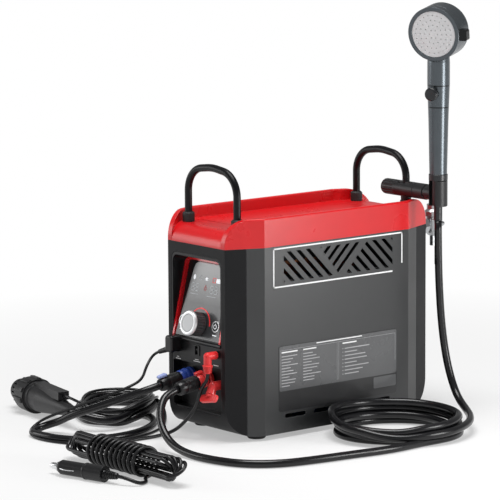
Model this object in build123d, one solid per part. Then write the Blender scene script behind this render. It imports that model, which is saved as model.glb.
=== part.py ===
from build123d import *
import math
import os

# Portable propane water heater: +Z up, +X towards the gas end, -X the control end,
# -Y the vented side.  The origin is on the resting plane under the middle of the casing.
# All sizes in millimetres, all angles in degrees.

# Casing
body_length = 370.0
body_width = 170.0
body_top_z = 310.0
seam_z = 270.0
foot_height = 7.0
foot_diameter = 26.0
foot_inset_x = 58.0
foot_inset_y = 26.0
slant_run = 53.0
slant_inset = 22.0
end_cover_run = 29.0
bottom_corner_radius = 40.0
rim_corner_radius = 36.0
wall = 2.5
seam_gap = 0.3
lap_width = 8.0
screw_x = 92.0
screw_y = 68.0
screw_head = 7.0
screw_head_height = 2.2
screw_shank = 3.4
screw_length = 9.0

# Top cover
rim_thickness = 8.0
tray_depth = 16.0
tray_end_radius = 24.0
rim_edge_radius = 2.2
tray_step_inset = 30.0
tray_step_width = 1.6

# Carrying handles
handle_rod = 10.5
handle_x_inset = 30.0
handle_side_inset = 31.0
handle_shoulder_z = 368.0
handle_crown_z = 375.0
handle_shoulder_radius = 34.0
handle_crown_radius = 90.0
handle_flange_diameter = 15.0
handle_flange_height = 2.0
grommet_diameter = 17.0
grommet_height = 14.0
rod_clearance = 0.1

# Exhaust grille and side panel slots
grille_left_x = -98.0
grille_right_x = 102.0
grille_low_z = 219.0
grille_high_z = 261.0
grille_slot = 5.2
grille_pitch = 12.2
grille_angle = 45.0
grille_left_foot_x = -4.0
grille_left_head_x = -44.0
grille_middle_half = 38.0
grille_middle_x = 6.0
grille_right_foot_x = 14.0
grille_right_head_x = 54.0
middle_foot_shift = -3.0
intake_slot_length = 38.0
intake_slot_height = 6.0
intake_slot_z = 30.5
intake_slot_count = 4
intake_slot_pitch = 52.0

# Control end window and fascia
window_half_width = 55.5
window_low_z = 36.0
window_high_z = 256.0
window_corner_radius = 12.0
fascia_clearance = 0.5
fascia_wall = 2.0
fascia_flange = 4.5
sill_z = 137.0
sill_height = 6.0
sill_stand = 1.6
panel_lean = 13.0
pocket_high_z = 103.0
pocket_depth = 15.0
trim_width = 3.2
trim_height = 1.6
panel_low_half = 49.5
panel_high_half = 31.0
panel_height = 108.0
panel_corner_radius = 13.0
panel_thickness = 4.0
panel_edge_gap = 2.5
panel_chamfer = 0.8

# Temperature knob and the two push buttons
knob_rise = 21.5
knob_diameter = 34.0
knob_length = 20.0
knob_grip_ribs = 28
knob_cap_diameter = 24.0
knob_cap_height = 1.2
knob_gap = 0.6
shaft_diameter = 6.0
button_diameter = 12.0
button_spread = 36.5
button_rise = 23.0
button_travel = 0.8
button_stand = 1.4
button_clearance = 0.25
button_sink = 2.8
knob_groove = 1.6
knob_cap_sink = 0.8
button_ring_diameter = 15.6
button_ring_height = 0.6

# Sockets and plugs on the port band
band_port_z = 122.0
pump_socket_y = 42.0
supply_socket_y = -45.0
socket_diameter = 11.0
socket_bore = 5.6
socket_pin = 2.1
socket_depth = 10.0
usb_width = 13.0
usb_height = 14.5
usb_stand = 0.8
usb_depth = 10.0
usb_slot_width = 6.0
usb_slot_height = 12.0
socket_stand = 2.0
socket_flange = 15.0
pump_head_depth = 16.0
pump_head_width = 16.0
pump_head_height = 24.0
pump_head_rise = 5.0
pump_sleeve_start = (-197.0, 46.0, 119.5)
pump_sleeve_end = (-199.5, 66.0, 112.5)
pump_sleeve_diameter = 9.0
elbow_reach = 20.0
elbow_diameter = 11.0
elbow_drop = 14.0
elbow_relief = 10.0

# Water fittings
fitting_droop = 10.0
inlet_y = 27.0
outlet_y = -12.0
drain_y = -41.0
fitting_z = 84.5
spigot_diameter = 11.0
spigot_bore = 7.0
spigot_length = 34.0
collar_diameter = 20.0
coupler_diameter = 17.0
coupler_length = 42.0
coupler_start = 16.5
coupler_sleeve = 19.0
coupler_sleeve_length = 12.0
coupler_shoulder = 4.0
spigot_tail = 12.0
nut_across = 16.0
nut_start = -9.7
nut_length = 6.0
collar_length = 6.5
drain_z = 78.0
drain_reach = 19.0
drain_body_diameter = 13.0
drain_slew = -0.2
drain_tail = 8.0
drain_flange = 17.0
drain_neck = 13.0
drain_stem = 6.0
drain_wing_length = 31.0
drain_wing_width = 11.0
drain_wing_thickness = 4.5

# Gas inlet and regulator at the rear end
gas_y = -36.0
gas_z = 262.0
gas_reach = 38.0
gas_thread_diameter = 13.2
gas_thread_length = 13.0
regulator_diameter = 24.0

gas_stub_depth = 13.0
gas_drop_depth = 29.0
gas_bend = 9.0
gas_flange_diameter = 22.0
regulator_low_z = 232.0
regulator_high_z = 292.0
regulator_nipple = 21.0
regulator_groove = 2.0
nipple_diameter = 5.0
nipple_cap_diameter = 8.0
gas_tail_diameter = 9.0
gas_tail_length = 14.0

# Inner works
board_gap = 7.0
board_width = 84.0
board_height = 88.0
board_thickness = 1.6
board_post = 5.0
board_post_x = 36.0
board_post_y = 38.0
chip_count = 3
chip_pitch = 22.0
chip_rise = 18.0
chip_size = 12.0
chip_height = 3.0
encoder_width = 14.0
shaft_reach = 12.0
shaft_clearance = 0.06
moving_gap = 0.3
chamber_low_x = -70.0
chamber_high_x = 80.0
chamber_leg = 14.0
burner_z = 88.0
burner_manifold = 14.0
burner_stub = 5.0
burner_bar_width = 10.0
burner_slot = 2.0
tube_z = 198.0
tube_pitch = 24.0
tube_stub = 10.0
pipe_rise_x = -98.0
pipe_rise_z = 120.0
pipe_turn = 58.0
sensor_length = 22.0
sensor_width = 22.0
valve_stand = 14.0
valve_length = 40.0
valve_half = 18.0
valve_bracket = 18.0
valve_low_z = 120.0
valve_high_z = 158.0
solenoid_shift = 9.0
solenoid_diameter = 16.0
solenoid_height = 22.0
igniter_y = 28.0
igniter_z = 118.0
electrode = 6.0
electrode_wire = 2.0
electrode_sleeve = 14.0
electrode_reach = 24.0
igniter_depth = 18.0
igniter_width = 26.0
igniter_height = 28.0
battery_length = 130.0
battery_width = 70.0
battery_height = 30.0
battery_edge = 4.0
chamber_width = 104.0
chamber_low_z = 78.0
chamber_high_z = 262.0
sheet = 1.2
fin_count = 14
fin_thickness = 1.0
exchanger_low_z = 176.0
exchanger_height = 44.0
burner_bars = 6
water_tube = 10.0
gas_tube = 8.0

# Shower clamp, cradle and handset
arm_z = 322.5
arm_diameter = 22.5
clamp_near_reach = 24.0
clamp_far_reach = 12.0
clamp_knob_reach = 44.5
cradle_reach = 68.0
cradle_low_z = 305.0
cradle_high_z = 342.0
cradle_diameter = 26.5
cradle_slot = 17.0
handset_yaw = 203.5
grip_low_z = 351.0
grip_high_z = 509.0
grip_low_diameter = 25.0
grip_high_diameter = 32.0
collar_bore_diameter = 18.4
hose_nut_diameter = 18.0
head_z = 552.0
head_diameter = 77.0
head_depth = 45.0
head_set_back = 6.0
head_tilt = 7.5
face_diameter = 66.0
stop_button_z = 466.0
stop_button_diameter = 13.0
stop_ball_diameter = 19.0
stop_ball_width = 7.0
stop_button_travel = 5.0

lever_reach = 14.0
lever_width = 16.0
ring_width = 9.0
ring_bore = 70.0
nozzle = 1.6
spray_plate_stand = 1.6
nozzle_ring_count = 4
nozzle_ring_first = 6.0
nozzle_ring_pitch = 7.0
nozzle_depth = 1.2
handset_flange = 27.0
hose_sleeve_diameter = 12.0
hose_sleeve_low_z = 285.0
hose_sleeve_gap = 0.7
neck_z = 528.0
cradle_pivot_reach = 44.7
pivot_diameter = 8.0
pivot_length = 12.0
clamp_groove = 0.8
clamp_groove_width = 1.2
clamp_grip_length = 24.0
clamp_knob_flutes = 16

# Pump of the inlet hose
pump_tail = (-285.0, 162.0, 25.0)
pump_tip = (-252.0, 331.0, 25.0)
pump_nut_diameter = 50.0
pump_nut_start = 112.0
pump_nut_end = 140.0
strainer_diameter = 33.0
strainer_slots = 16
strainer_slot = 2.2
strainer_wall = 3.0
strainer_core = 19.0
channel_width = 17.0
channel_depth = 12.0
channel_top = 23.0
channel_start = 22.0
channel_end = 106.0

# Supply plug
plug_tail = (-452.0, -144.0, 11.0)
plug_tip = (-474.0, -54.0, 11.0)
supply_plug_diameter = 22.0
plug_relief = 20.0
plug_neck_diameter = 11.0
plug_grip_length = 30.0
plug_step = 1.2
plug_contact_diameter = 8.0
plug_spring_back = 36.0
plug_spring_length = 16.0

# Hoses and cables
bend_share = 0.45
hose_lead = 20.0
hose_diameter = 11.0
pump_cable_diameter = 4.0
supply_cable_diameter = 5.0
hank_end = (-396.0, 13.0, 22.2)
hank_length = 228.0
hank_wraps_diameter = 44.0
hank_loops_diameter = 34.0
hank_wraps_start = 56.0
hank_wraps_end = 172.0
coil_turn_angle = -39.1
inlet_coil = ((-184.0, 188.0), 52.0, 84.0, 0.0, 30.0, 4.5)
shower_coil = ((31.5, -173.5), 86.0, 74.0, 0.0, 38.0, 4.5)


def plan_face(inset=0.0):
    """Plan outline of the casing: a rectangle whose ends slant inwards."""
    end_x = body_length / 2
    side_y = body_width / 2
    side_x = end_x - slant_run
    end_y = side_y - slant_inset
    quarter = [(end_x, -end_y), (end_x, end_y), (side_x, side_y), (-side_x, side_y)]
    outline = quarter + [(-x, -y) for x, y in quarter]
    face = make_face(Polyline(*outline, close=True))
    if inset:
        face = offset(face, -inset, kind=Kind.INTERSECTION)
    return face


def side_slab(inset, low_z, high_z, low_radius=0.0, high_radius=0.0):
    """Slab across the whole width whose side view is a rectangle with rounded corners."""
    middle = (low_z + high_z) / 2
    sketch = Pos(0, middle) * Rectangle(body_length - 2 * inset, high_z - low_z)
    if low_radius:
        sketch = fillet(sketch.vertices().filter_by(lambda v: v.Y < middle), low_radius)
    if high_radius:
        sketch = fillet(sketch.vertices().filter_by(lambda v: v.Y > middle), high_radius)
    return extrude(Plane.XZ * sketch, amount=body_width, both=True)


def block(low, high):
    """Box between two corners."""
    size = [b - a for a, b in zip(low, high)]
    middle = [(a + b) / 2 for a, b in zip(low, high)]
    return Pos(*middle) * Box(*size)


def plane_at(origin, normal, x_dir=None):
    """Work plane with its Z along the normal."""
    return Plane(origin=origin, z_dir=normal, x_dir=x_dir)


def rod(origin, direction, diameter, start, end):
    """Round bar along a direction, between two distances from its origin."""
    work = plane_at(origin, direction)
    return work * Pos(0, 0, (start + end) / 2) * Cylinder(diameter / 2, end - start)


def ring(origin, direction, outer, inner, start, end):
    """Round tube along a direction."""
    reach = 1.0
    bore = rod(origin, direction, inner, start - reach, end + reach)
    return rod(origin, direction, outer, start, end) - bore


def turned(origin, direction, profile):
    """Solid turned about a direction from (radius, distance) pairs that start and end on the axis."""
    face = make_face(Polyline(*[(r, 0, h) for r, h in profile], close=True))
    return plane_at(origin, direction) * revolve(face, Axis.Z)


# ---------------------------------------------------------------- casing

def casing_skin(inset, thickness):
    """Open-topped tub that follows the casing at an inset, with a rounded bottom edge at both ends."""
    low_z = foot_height + inset
    outer = extrude(Pos(0, 0, low_z) * plan_face(inset), seam_z - low_z)
    outer &= side_slab(inset, low_z, 2 * seam_z, bottom_corner_radius - inset)
    deep = inset + thickness
    inner = extrude(Pos(0, 0, low_z + thickness) * plan_face(deep), seam_z)
    inner &= side_slab(deep, low_z + thickness, 3 * seam_z, bottom_corner_radius - deep)
    return outer - inner


def casing_shell():
    return casing_skin(0, wall)


seam_x = body_length / 2 - end_cover_run
span = body_length


def end_zone(sign):
    """Everything beyond the seam between an end cover and the side panels."""
    edge = seam_x + seam_gap / 2
    return block((min(sign * edge, sign * span), -span, 0), (max(sign * edge, sign * span), span, span))


def middle_zone():
    edge = seam_x - seam_gap / 2
    return block((-edge, -span, 0), (edge, span, span))


def hatch_slots():
    """Slanted exhaust slots in three groups, drawn in side view."""
    low = grille_low_z
    high = grille_high_z
    middle = grille_middle_x
    half = grille_middle_half
    left = [
        (grille_left_x, low),
        (grille_left_x, high),
        (grille_left_head_x, high),
        (grille_left_foot_x, low),
    ]
    centre = [(middle - half, high), (middle + half, high), (middle + middle_foot_shift, low)]
    right = [
        (grille_right_head_x, high),
        (grille_right_x, high),
        (grille_right_x, low),
        (grille_right_foot_x, low),
    ]
    groups = [(left, -grille_angle), (centre, grille_angle), (right, -grille_angle)]
    step = grille_pitch / math.sin(math.radians(grille_angle))
    slots = Sketch()
    for corners, angle in groups:
        zone = make_face(Polyline(*corners, close=True))
        foot_x = corners[-1][0]
        count = int((grille_right_x - grille_left_x) / step)
        bars = Sketch()
        for index in range(-count, count):
            centre_x = foot_x + (index + 0.5) * step
            place = Pos(centre_x, low) * Rot(0, 0, angle)
            bars += place * Rectangle(4 * (high - low), grille_slot)
        slots += zone & bars
    return slots


def side_panel(sign, vented):
    panel = casing_shell() & middle_zone()
    band = extrude(plan_face() - plan_face(wall), span)
    half = block((-span, min(0, sign * span), 0), (span, max(0, sign * span), span))
    panel = panel & band & half
    first = -intake_slot_pitch * (intake_slot_count - 1) / 2
    slot = Sketch()
    for index in range(intake_slot_count):
        place = Pos(first + index * intake_slot_pitch, intake_slot_z)
        slot += place * SlotOverall(intake_slot_length, intake_slot_height)
    if vented:
        slot += hatch_slots()
    reach = wall * 2
    cutter = extrude(Plane.XZ * slot, amount=reach, both=True)
    return panel - Pos(0, sign * body_width / 2, 0) * cutter


def window_sketch(clearance):
    """Control window outline in end view, with Y across and Z up."""
    middle = (window_low_z + window_high_z) / 2
    width = 2 * (window_half_width - clearance)
    height = window_high_z - window_low_z - 2 * clearance
    return Pos(0, middle) * RectangleRounded(width, height, window_corner_radius - clearance)


front_x = -body_length / 2
end_view = Plane(origin=(front_x, 0, 0), x_dir=(0, -1, 0), z_dir=(-1, 0, 0))


def lap_flange(sign):
    """Thin flange of an end cover that reaches under the side panels and the base plate."""
    skin = casing_skin(wall, sheet)
    near = seam_x - lap_width
    far = seam_x + lap_width
    return skin & block((min(sign * near, sign * far), -span, 0), (max(sign * near, sign * far), span, span))


def front_cover():
    cover = casing_shell() & end_zone(-1)
    cover += lap_flange(-1)
    opening = extrude(end_view * window_sketch(0), amount=wall * 3, both=True)
    return cover - opening


def rear_cover():
    cover = casing_shell() & end_zone(1)
    cover += lap_flange(1)
    bore = gas_thread_diameter + 2 * rod_clearance
    port = rod((body_length / 2, gas_y, gas_z), (1, 0, 0), bore, -3 * wall, wall)
    return cover - port


screw_places = [(x, side * screw_y) for x in (-screw_x, 0, screw_x) for side in (-1, 1)]


def base_plate():
    plate = casing_shell() & middle_zone()
    plate &= extrude(plan_face(wall), span)
    for x, y in screw_places:
        plate -= Pos(x, y, foot_height) * Cylinder(screw_shank / 2, 4 * wall)
    return plate


def casing_screws():
    screws = []
    for x, y in screw_places:
        head = Pos(x, y, foot_height - screw_head_height / 2) * Cylinder(screw_head / 2, screw_head_height)
        shank = Pos(x, y, foot_height + screw_length / 2) * Cylinder(screw_shank / 2, screw_length)
        screws.append(head + shank)
    return Compound(children=screws)


foot_places = [
    (sx * (body_length / 2 - foot_inset_x), sy * (body_width / 2 - foot_inset_y))
    for sx in (-1, 1)
    for sy in (-1, 1)
]


def rubber_feet():
    feet = []
    for x, y in foot_places:
        body = Pos(x, y, foot_height / 2) * Cylinder(foot_diameter / 2, foot_height)
        body = chamfer(body.edges().group_by(Axis.Z)[0], 1.5)
        feet.append(body)
    return Compound(children=feet)


# ---------------------------------------------------------------- top cover and handles

tray_z = body_top_z - tray_depth
tray_underside_z = tray_z - wall


def rim_inner_face():
    """Plan of the tray between the rims, run out past both ends."""
    extra = rim_thickness * 4
    slope = slant_inset / slant_run
    end_x = body_length / 2 + extra
    end_y = body_width / 2 - slant_inset - extra * slope
    side_x = body_length / 2 - slant_run
    side_y = body_width / 2
    quarter = [(end_x, -end_y), (end_x, end_y), (side_x, side_y), (-side_x, side_y)]
    outline = quarter + [(-x, -y) for x, y in quarter]
    return offset(make_face(Polyline(*outline, close=True)), -rim_thickness, kind=Kind.INTERSECTION)


handle_x = body_length / 2 - handle_x_inset
handle_half_span = body_width / 2 - handle_side_inset
leg_places = [(sx * handle_x, sy * handle_half_span) for sx in (-1, 1) for sy in (-1, 1)]


def top_cover():
    outer = extrude(Pos(0, 0, seam_z) * plan_face(), body_top_z - seam_z)
    tray = extrude(Pos(0, 0, seam_z) * rim_inner_face(), 2 * (body_top_z - seam_z))
    deck = side_slab(0, foot_height, tray_z, 0, tray_end_radius)
    cover = outer - (tray & block((-span, -span, tray_z), (span, span, 2 * span)))
    rims = cover.edges().filter_by(Plane.XY).group_by(Axis.Z)[-1]
    rims = rims.filter_by(lambda e: abs(e.center().X) < body_length / 2 - 1)
    cover = fillet(rims, rim_edge_radius)
    cover &= side_slab(0, foot_height, body_top_z, 0, rim_corner_radius)
    cover -= tray - deck
    hollow = extrude(Pos(0, 0, seam_z - 1) * plan_face(wall), tray_underside_z - seam_z + 1)
    hollow &= side_slab(wall, foot_height, tray_underside_z, 0, tray_end_radius - wall)
    cover -= hollow
    for sign in (-1, 1):
        groove_x = sign * (body_length / 2 - tray_step_inset - tray_end_radius)
        low = (groove_x - tray_step_width / 2, -handle_half_span, tray_z - tray_step_width / 2)
        high = (groove_x + tray_step_width / 2, handle_half_span, tray_z + tray_step_width)
        cover -= block(low, high)
    for x, y in leg_places:
        cover -= Pos(x, y, tray_z) * Cylinder(handle_rod / 2 + rod_clearance, 8 * wall)
    return cover


def handle(sign):
    """Bent round bar with a welded flange at the foot of each leg."""
    x = sign * handle_x
    y = handle_half_span
    foot_z = tray_underside_z - handle_flange_height
    corners = [
        (x, -y, foot_z),
        (x, -y, handle_shoulder_z),
        (x, 0, handle_crown_z),
        (x, y, handle_shoulder_z),
        (x, y, foot_z),
    ]
    bends = [handle_shoulder_radius, handle_crown_radius, handle_shoulder_radius]
    path = FilletPolyline(*corners, radius=bends)
    start = Plane(origin=corners[0], z_dir=(0, 0, 1))
    bar = sweep(start * Circle(handle_rod / 2), path=path)
    for side in (-1, 1):
        flange = Pos(x, side * y, foot_z + handle_flange_height / 2)
        bar += flange * Cylinder(handle_flange_diameter / 2, handle_flange_height)
    return bar


def handle_grommets():
    parts = []
    for x, y in leg_places:
        body = Pos(x, y, tray_z + grommet_height / 2) * Cylinder(grommet_diameter / 2, grommet_height)
        body = chamfer(body.edges().group_by(Axis.Z)[-1], 2.0)
        body -= Pos(x, y, tray_z) * Cylinder(handle_rod / 2 + rod_clearance, 4 * grommet_height)
        parts.append(body)
    return Compound(children=parts)


# ---------------------------------------------------------------- fascia and control panel

wall_x = front_x + pocket_depth
droop = math.radians(fitting_droop)
fitting_axis = (-math.cos(droop), 0, -math.sin(droop))
lean = math.radians(panel_lean)
panel_normal = (-math.cos(lean), 0, math.sin(lean))


def panel_plane(stand=0.0):
    """Leaning plane of the control panel; its local X runs to the right as seen, Y runs up."""
    origin = Vector(front_x, 0, sill_z) + Vector(*panel_normal) * stand
    return Plane(origin=origin, x_dir=(0, -1, 0), z_dir=panel_normal)


inner_half = window_half_width - fascia_clearance - fascia_wall
inner_high_z = window_high_z - fascia_clearance - fascia_wall
deck_height = (inner_high_z - sill_z) * math.cos(lean) - panel_thickness * math.sin(lean) - 1.0
band_low_z = pocket_high_z + fascia_wall


def panel_outline():
    corners = [
        (-panel_low_half, panel_edge_gap / 2),
        (panel_low_half, panel_edge_gap / 2),
        (panel_high_half, panel_height),
        (-panel_high_half, panel_height),
    ]
    face = make_face(Polyline(*corners, close=True))
    return fillet(face.vertices().group_by(Axis.Y)[-1], panel_corner_radius)


def deck_outline(margin=0.0):
    half = inner_half - margin
    corners = [(-half, 0), (half, 0), (half, deck_height - margin), (-half, deck_height - margin)]
    face = make_face(Polyline(*corners, close=True))
    radius = window_corner_radius - fascia_clearance - fascia_wall - margin
    return fillet(face.vertices().group_by(Axis.Y)[-1], radius)


def in_front_of(plane, size=400.0):
    return plane * Pos(0, 0, size / 2) * Box(size, size, size)


def panel_bore(x, y, diameter, low, high):
    """Round bar square to the panel, between two heights from its face."""
    return panel_plane() * Pos(x, y, (low + high) / 2) * Cylinder(diameter / 2, high - low)


button_places = [(-button_spread, button_rise), (button_spread, button_rise)]


def on_panel_face(point):
    return abs(panel_plane().to_local_coords(Vector(*point)).Z) < 0.01


def front_fascia():
    """Moulded insert of the window: a leaning deck above, a port band, and a pocket for the fittings."""
    depth = 60.0
    face_x = front_x + seam_gap
    frame = extrude(end_view.offset(-seam_gap) * window_sketch(fascia_clearance), amount=-depth)
    frame &= side_slab(seam_gap, foot_height, 2 * seam_z, bottom_corner_radius)
    split_z = sill_z - sill_height
    upper = frame & block((-span, -span, split_z), (span, span, span))
    upper &= in_front_of(panel_plane(-panel_thickness - fascia_wall))
    lower = frame & block((-span, -span, 0), (front_x + pocket_depth + fascia_wall, span, split_z))
    pocket_low = window_low_z + fascia_clearance + fascia_wall
    lower -= block((-span, -inner_half, pocket_low), (front_x + pocket_depth, inner_half, pocket_high_z))
    lower -= block((face_x + fascia_wall, -inner_half, band_low_z), (span, inner_half, split_z))
    sill_origin = (front_x + sill_height / 2 - sill_stand, 0, sill_z - sill_height / 2)
    sill = rod(sill_origin, (0, 1, 0), sill_height, -inner_half, inner_half)
    flange = window_sketch(-fascia_flange) - window_sketch(fascia_clearance + fascia_wall)
    flange = extrude(end_view.offset(-wall) * flange, amount=-fascia_wall)
    flange &= block((-span, -span, foot_height + bottom_corner_radius), (span, span, span))
    fascia = upper + lower + sill + flange
    fascia -= extrude(panel_plane(-panel_thickness) * deck_outline(), amount=depth)
    fascia -= panel_bore(0, knob_rise, shaft_diameter + 1.0, -depth / 2, 0)
    for y in (pump_socket_y, supply_socket_y):
        fascia -= rod((front_x, y, band_port_z), (1, 0, 0), socket_diameter + 2 * rod_clearance, -5, 12)
    usb_half = usb_width / 2 + rod_clearance
    usb_rise = usb_height / 2 + rod_clearance
    usb_low = (front_x - 5, -usb_half, band_port_z - usb_rise)
    fascia -= block(usb_low, (front_x + 8, usb_half, band_port_z + usb_rise))
    for y in (inlet_y, outlet_y):
        fascia -= rod((wall_x, y, fitting_z), fitting_axis, spigot_diameter + 2 * rod_clearance, -12, 12)
    drain_bore = drain_body_diameter + 2 * rod_clearance
    fascia -= rod((wall_x, drain_y, drain_z), (-1, 0, 0), drain_bore, -12, 12)
    return fascia


def fascia_trim():
    """Red strip round the sides and top of the leaning deck."""
    edge = 0.1
    strip = deck_outline(edge) - deck_outline(edge + trim_width)
    solid = extrude(panel_plane(-panel_thickness) * strip, amount=panel_thickness + trim_height)
    return solid & block((front_x - 1, -span, 0), (span, span, span))


def control_panel():
    plate = extrude(panel_plane(-panel_thickness) * panel_outline(), amount=panel_thickness)
    rim = plate.edges().filter_by(lambda e: on_panel_face(e.center()))
    plate = chamfer(rim, panel_chamfer)
    for x, y in button_places:
        plate += panel_bore(x, y, button_ring_diameter, -panel_chamfer, button_ring_height)
    plate -= panel_bore(0, knob_rise, shaft_diameter + 1.0, -2 * panel_thickness, panel_thickness)
    bore = button_diameter + 2 * button_clearance
    for x, y in button_places:
        plate -= panel_bore(x, y, bore, -2 * panel_thickness, panel_thickness)
    return plate


def fascia_back(x, y, depth, size):
    """Box behind the fascia deck, a depth off its rear face; size is width, height, thickness."""
    place = Pos(x, y, -panel_thickness - fascia_wall - depth - size[2] / 2)
    return panel_plane() * place * Box(*size)


def control_board():
    middle_y = panel_height / 2
    board = fascia_back(0, middle_y, board_gap, (board_width, board_height, board_thickness))
    for x in (-board_post_x, board_post_x):
        for y in (middle_y - board_post_y, middle_y + board_post_y):
            board += fascia_back(x, y, 0, (board_post, board_post, board_gap))
    chip = (chip_size, chip_size, chip_height)
    for index in range(chip_count):
        chip_x = (index - (chip_count - 1) / 2) * chip_pitch
        board += fascia_back(chip_x, middle_y + chip_rise, board_gap + board_thickness, chip)
    return board


def knob_encoder():
    body = fascia_back(0, knob_rise, 0, (encoder_width, encoder_width, board_gap))
    shaft = panel_bore(0, knob_rise, shaft_diameter, -panel_thickness - fascia_wall, knob_gap + shaft_reach)
    return body + shaft


def temperature_knob():
    """Ribbed knob with a blind bore for the encoder shaft."""
    knob = panel_bore(0, knob_rise, knob_diameter, knob_gap, knob_gap + knob_length)
    knob = chamfer(knob.edges(), 1.2)
    rib_plane = panel_plane() * Pos(0, knob_rise, knob_gap + knob_length / 2)
    grooves = Sketch() + [
        loc * Circle(knob_groove / 2) for loc in PolarLocations(knob_diameter / 2, knob_grip_ribs)
    ]
    knob -= extrude(rib_plane * grooves, amount=knob_length, both=True)
    knob -= panel_bore(0, knob_rise, shaft_diameter + 2 * shaft_clearance, 0, knob_gap + shaft_reach + 1)
    knob -= panel_bore(0, knob_rise, knob_cap_diameter, knob_gap + knob_length - knob_cap_sink, span)
    return knob


def knob_cap():
    low = knob_gap + knob_length - knob_cap_sink
    cap = panel_bore(0, knob_rise, knob_cap_diameter, low, low + knob_cap_height)
    return chamfer(cap.edges(), 0.4)


def push_button(place):
    x, y = place
    body = panel_bore(x, y, button_diameter, -button_sink, button_stand)
    return fillet(body.edges().filter_by(lambda e: on_height(e.center(), button_stand)), 0.8)


def on_height(point, height):
    return abs(panel_plane().to_local_coords(Vector(*point)).Z - height) < 0.01


# ---------------------------------------------------------------- sockets and plugs of the port band

socket_x = front_x - socket_stand


def power_sockets():
    parts = []
    for y in (pump_socket_y, supply_socket_y):
        origin = (socket_x, y, band_port_z)
        body = ring(origin, (1, 0, 0), socket_diameter, socket_bore, 0, socket_depth)
        body += rod(origin, (1, 0, 0), socket_diameter, socket_depth, socket_depth + 2)
        body += rod(origin, (1, 0, 0), socket_flange, socket_stand + seam_gap + fascia_wall, socket_depth)
        body -= rod(origin, (1, 0, 0), socket_bore, 0, socket_depth)
        body += rod(origin, (1, 0, 0), socket_pin, 1, socket_depth + 1)
        parts.append(body)
    return Compound(children=parts)


def usb_port():
    low = (front_x - usb_stand, -usb_width / 2, band_port_z - usb_height / 2)
    high = (front_x + seam_gap + fascia_wall, usb_width / 2, band_port_z + usb_height / 2)
    body = block(low, high)
    body = fillet(body.edges().filter_by(Axis.X), 1.2)
    rear_low = (high[0], low[1] - 1.5, low[2] - 1.5)
    rear_high = (high[0] + usb_depth, high[1] + 1.5, high[2] + 1.5)
    body += block(rear_low, rear_high)
    mouth = (usb_slot_width / 2, usb_slot_height / 2)
    slot_low = (low[0] - 1, -mouth[0], band_port_z - mouth[1])
    body -= block(slot_low, (high[0] + usb_depth - 2, mouth[0], band_port_z + mouth[1]))
    tongue = (usb_slot_width / 2 - 1, usb_slot_height / 6)
    tongue_low = (low[0] + 1, -tongue[0], band_port_z)
    body += block(tongue_low, (high[0] + usb_depth - 1, tongue[0], band_port_z + tongue[1]))
    return body


def plug_pin(y):
    """Barrel contact of a power plug inside its socket, hollow for the centre pin."""
    origin = (socket_x, y, band_port_z)
    return ring(origin, (1, 0, 0), socket_bore - 0.2, socket_pin + 0.6, 0, socket_depth - 1)


def pump_plug():
    """Angled plug of the pump lead: tall head on the socket and a sleeve for the cable."""
    x = socket_x
    head = Pos(x - pump_head_depth / 2, pump_socket_y, band_port_z + pump_head_rise)
    head *= Box(pump_head_depth, pump_head_width, pump_head_height)
    head = fillet(head.edges().filter_by(Axis.X), 5)
    head = fillet(head.faces().sort_by(Axis.X)[0].edges(), 3)
    sleeve = tapered(pump_sleeve_start, pump_sleeve_end, pump_sleeve_diameter, pump_cable_diameter + 2.4)
    return head + sleeve + plug_pin(pump_socket_y)


def power_elbow():
    """Right-angled red plug of the supply cable."""
    x = socket_x
    corner = (x - elbow_reach + elbow_diameter / 2, supply_socket_y, band_port_z)
    body = rod(corner, (1, 0, 0), elbow_diameter, 0, x - corner[0])
    body += Pos(*corner) * Sphere(elbow_diameter / 2)
    body += rod(corner, (0, 0, -1), elbow_diameter, 0, elbow_drop)
    tip = (corner[0], corner[1], band_port_z - elbow_drop)
    end = (tip[0], tip[1], tip[2] - elbow_relief)
    body += tapered(tip, end, elbow_diameter - 2, supply_cable_diameter + 1.6)
    return body + plug_pin(supply_socket_y)


def tapered(start, end, low_diameter, high_diameter):
    """Cone between two points."""
    way = Vector(*end) - Vector(*start)
    cone = Cone(low_diameter / 2, high_diameter / 2, way.length)
    return plane_at(start, tuple(way.normalized())) * Pos(0, 0, way.length / 2) * cone


# ---------------------------------------------------------------- water fittings

def water_fitting(y):
    """Tube through the pocket wall with a nut behind it and a coloured collar in front."""
    origin = (wall_x, y, fitting_z)
    body = rod(origin, fitting_axis, spigot_diameter, -spigot_tail, spigot_length)
    nut = RegularPolygon(nut_across / 2, 6, major_radius=False)
    body += extrude(plane_at(origin, fitting_axis, (0, 1, 0)).offset(nut_start) * nut, amount=nut_length)
    body += rod(origin, fitting_axis, collar_diameter, coupler_start - collar_length, coupler_start)
    return body - rod(origin, fitting_axis, spigot_bore, -spigot_tail - 1, spigot_length + 1)


def coupler(y):
    """Push-on hose coupler with a grip sleeve and a closed shoulder where the hose begins."""
    origin = (wall_x, y, fitting_z)
    end = coupler_start + coupler_length
    body = rod(origin, fitting_axis, coupler_diameter, coupler_start, end)
    grip_start = coupler_start + coupler_shoulder
    body += rod(origin, fitting_axis, coupler_sleeve, grip_start, grip_start + coupler_sleeve_length)
    mouth = end - coupler_shoulder
    body -= rod(origin, fitting_axis, spigot_diameter + 2 * rod_clearance, coupler_start - 1, mouth)
    return body


drain_origin = (wall_x - drain_reach, drain_y, drain_z)
drain_axis = tuple(Vector(-0.55, drain_slew, -0.82).normalized())


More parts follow.
